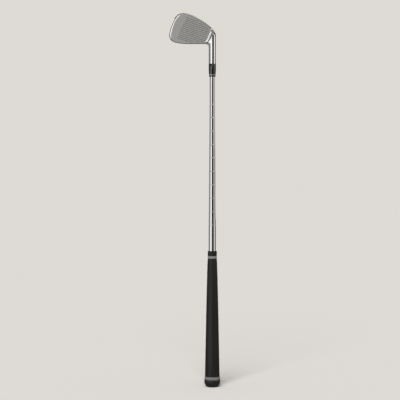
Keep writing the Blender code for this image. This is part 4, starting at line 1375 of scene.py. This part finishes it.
def card_strip(left, right, edges):
    """A strip that runs round the club between two azimuths, with both its edges as (reach, height)."""
    verts = []
    for turn in even_steps(radians(left), radians(right), CARD_PIECES):
        verts += [(reach * sin(turn), -reach * cos(turn), height) for reach, height in edges]
    faces = [(2 * k, 2 * k + 1, 2 * k + 3, 2 * k + 2) for k in range(CARD_PIECES)]
    mesh = bpy.data.meshes.new("card")
    mesh.from_pydata(verts, [], faces)
    return mesh


def add_card(mesh, brightness):
    """A card that gives off an even light and is seen in reflections alone."""
    material = bpy.data.materials.new("card")
    material.use_nodes = True
    tree = material.node_tree
    tree.nodes.clear()
    glow = add_node(tree, "ShaderNodeEmission", {"Color": (*CARD_SHADE, 1.0), "Strength": brightness})
    add_node(tree, "ShaderNodeOutputMaterial", {"Surface": glow.outputs[0]})
    mesh.materials.append(material)
    card = new_object("card", mesh)
    for ray in ("camera", "diffuse", "shadow", "transmission", "volume_scatter"):
        setattr(card, "visible_" + ray, False)


class GOLFIRON_OT_studio(bpy.types.Operator):
    """Builds the floor, the backdrop, the lights and the camera"""

    bl_idname = "golf_iron.studio"
    bl_label = "Studio"

    def execute(self, context):
        settings = context.scene.iron_studio
        shade = settings.backdrop_colour
        floor = new_object("studio_floor", level_disc((0.0, 0.0, 0.0), FLOOR_REACH))
        floor.data.materials.append(finish("studio_floor", [FLOOR_ALBEDO] * 3))
        rows = [(((CARD_REACH, low), (CARD_REACH, high)), cards) for low, high, cards in CARD_ROWS]
        near, far, cards = FLOOR_CARDS
        rows.append((((near, FLOOR_CARD_HEIGHT), (far, FLOOR_CARD_HEIGHT)), cards))
        for edges, cards in rows:
            for left, right, brightness in cards:
                add_card(card_strip(left, right, edges), brightness)
        for place, radius, brightness in DISC_CARDS:
            add_card(level_disc(place, radius), brightness)

        # The sun and the even world light share the floor's tone between them, out to the horizon
        fill = [channel / FLOOR_ALBEDO * (1 - settings.key_share) for channel in shade]
        key = bpy.data.lights.new("key_light", "SUN")
        key.angle = settings.key_softness
        key.color = shade
        key.energy = pi * settings.key_share / FLOOR_ALBEDO / sin(KEY_ELEVATION)
        light = new_object("key_light", key)
        light.visible_glossy = False
        level = cos(KEY_ELEVATION)
        toward = Vector((level * sin(KEY_AZIMUTH), -level * cos(KEY_AZIMUTH), sin(KEY_ELEVATION)))
        light.rotation_euler = toward.to_track_quat("Z", "Y").to_euler()

        world = bpy.data.worlds.new("studio_world")
        world.use_nodes = True
        tree = world.node_tree
        tree.nodes.clear()
        rays = add_node(tree, "ShaderNodeLightPath").outputs
        tones = [{"Color": (*tone, 1.0)} for tone in (shade, fill, ROOM_SHADE)]
        seen, even, room = (add_node(tree, "ShaderNodeBackground", tone).outputs[0] for tone in tones)
        lit = add_node(tree, "ShaderNodeMixShader", {0: rays["Is Glossy Ray"], 1: even, 2: room}).outputs[0]
        both = add_node(tree, "ShaderNodeMixShader", {0: rays["Is Camera Ray"], 1: lit, 2: seen}).outputs[0]
        add_node(tree, "ShaderNodeOutputWorld", {"Surface": both})
        context.scene.world = world

        lens = bpy.data.cameras.new("camera")
        lens.lens = CAMERA_FOCAL / IMAGE_SIDE * lens.sensor_width
        lens.clip_end = 2 * FLOOR_REACH
        camera = new_object("camera", lens)
        camera.location = (CAMERA_SIDE, -settings.camera_distance, settings.camera_height)
        camera.rotation_euler = (radians(90.0) - CAMERA_DIP, 0.0, 0.0)
        context.scene.camera = camera
        context.scene.view_settings.view_transform = "Standard"
        return {"FINISHED"}


# The panel, and the run

# A box of the panel a line: its settings, their class and its operators
BOXES = {
    "iron_head": (IronHeadSettings, GOLFIRON_OT_head, GOLFIRON_OT_badge),
    "iron_shaft": (ShaftSettings, GOLFIRON_OT_shaft),
    "iron_ferrule": (FerruleSettings, GOLFIRON_OT_ferrule),
    "iron_grip": (GripSettings, GOLFIRON_OT_grip, GOLFIRON_OT_bands, GOLFIRON_OT_cap),
    "iron_studio": (StudioSettings, GOLFIRON_OT_studio),
}


class GOLFIRON_PT_panel(bpy.types.Panel):
    """Lists the golf iron's pieces with their sizes and colours"""

    bl_idname = "GOLFIRON_PT_panel"
    bl_label = "Golf Iron"
    bl_space_type = "VIEW_3D"
    bl_region_type = "UI"
    bl_category = "Golf Iron"

    def draw(self, context):
        for prop, (_, *operators) in BOXES.items():
            box = self.layout.box()
            box.label(text=prop.removeprefix("iron_").title())
            settings = getattr(context.scene, prop)
            for name in settings.__annotations__:
                box.prop(settings, name)
            for operator in operators:
                box.operator(operator.bl_idname)


CLASSES = [cls for row in BOXES.values() for cls in row] + [GOLFIRON_PT_panel]


def register():
    for cls in CLASSES:
        bpy.utils.register_class(cls)
    for name, (settings, *_) in BOXES.items():
        setattr(bpy.types.Scene, name, PointerProperty(type=settings))


def unregister():
    for name in BOXES:
        delattr(bpy.types.Scene, name)
    for cls in reversed(CLASSES):
        bpy.utils.unregister_class(cls)


def main():
    register()
    for _, *operators in BOXES.values():
        for operator in operators:
            getattr(bpy.ops.golf_iron, operator.bl_idname.split(".")[1])()


if __name__ == "__main__":
    main()
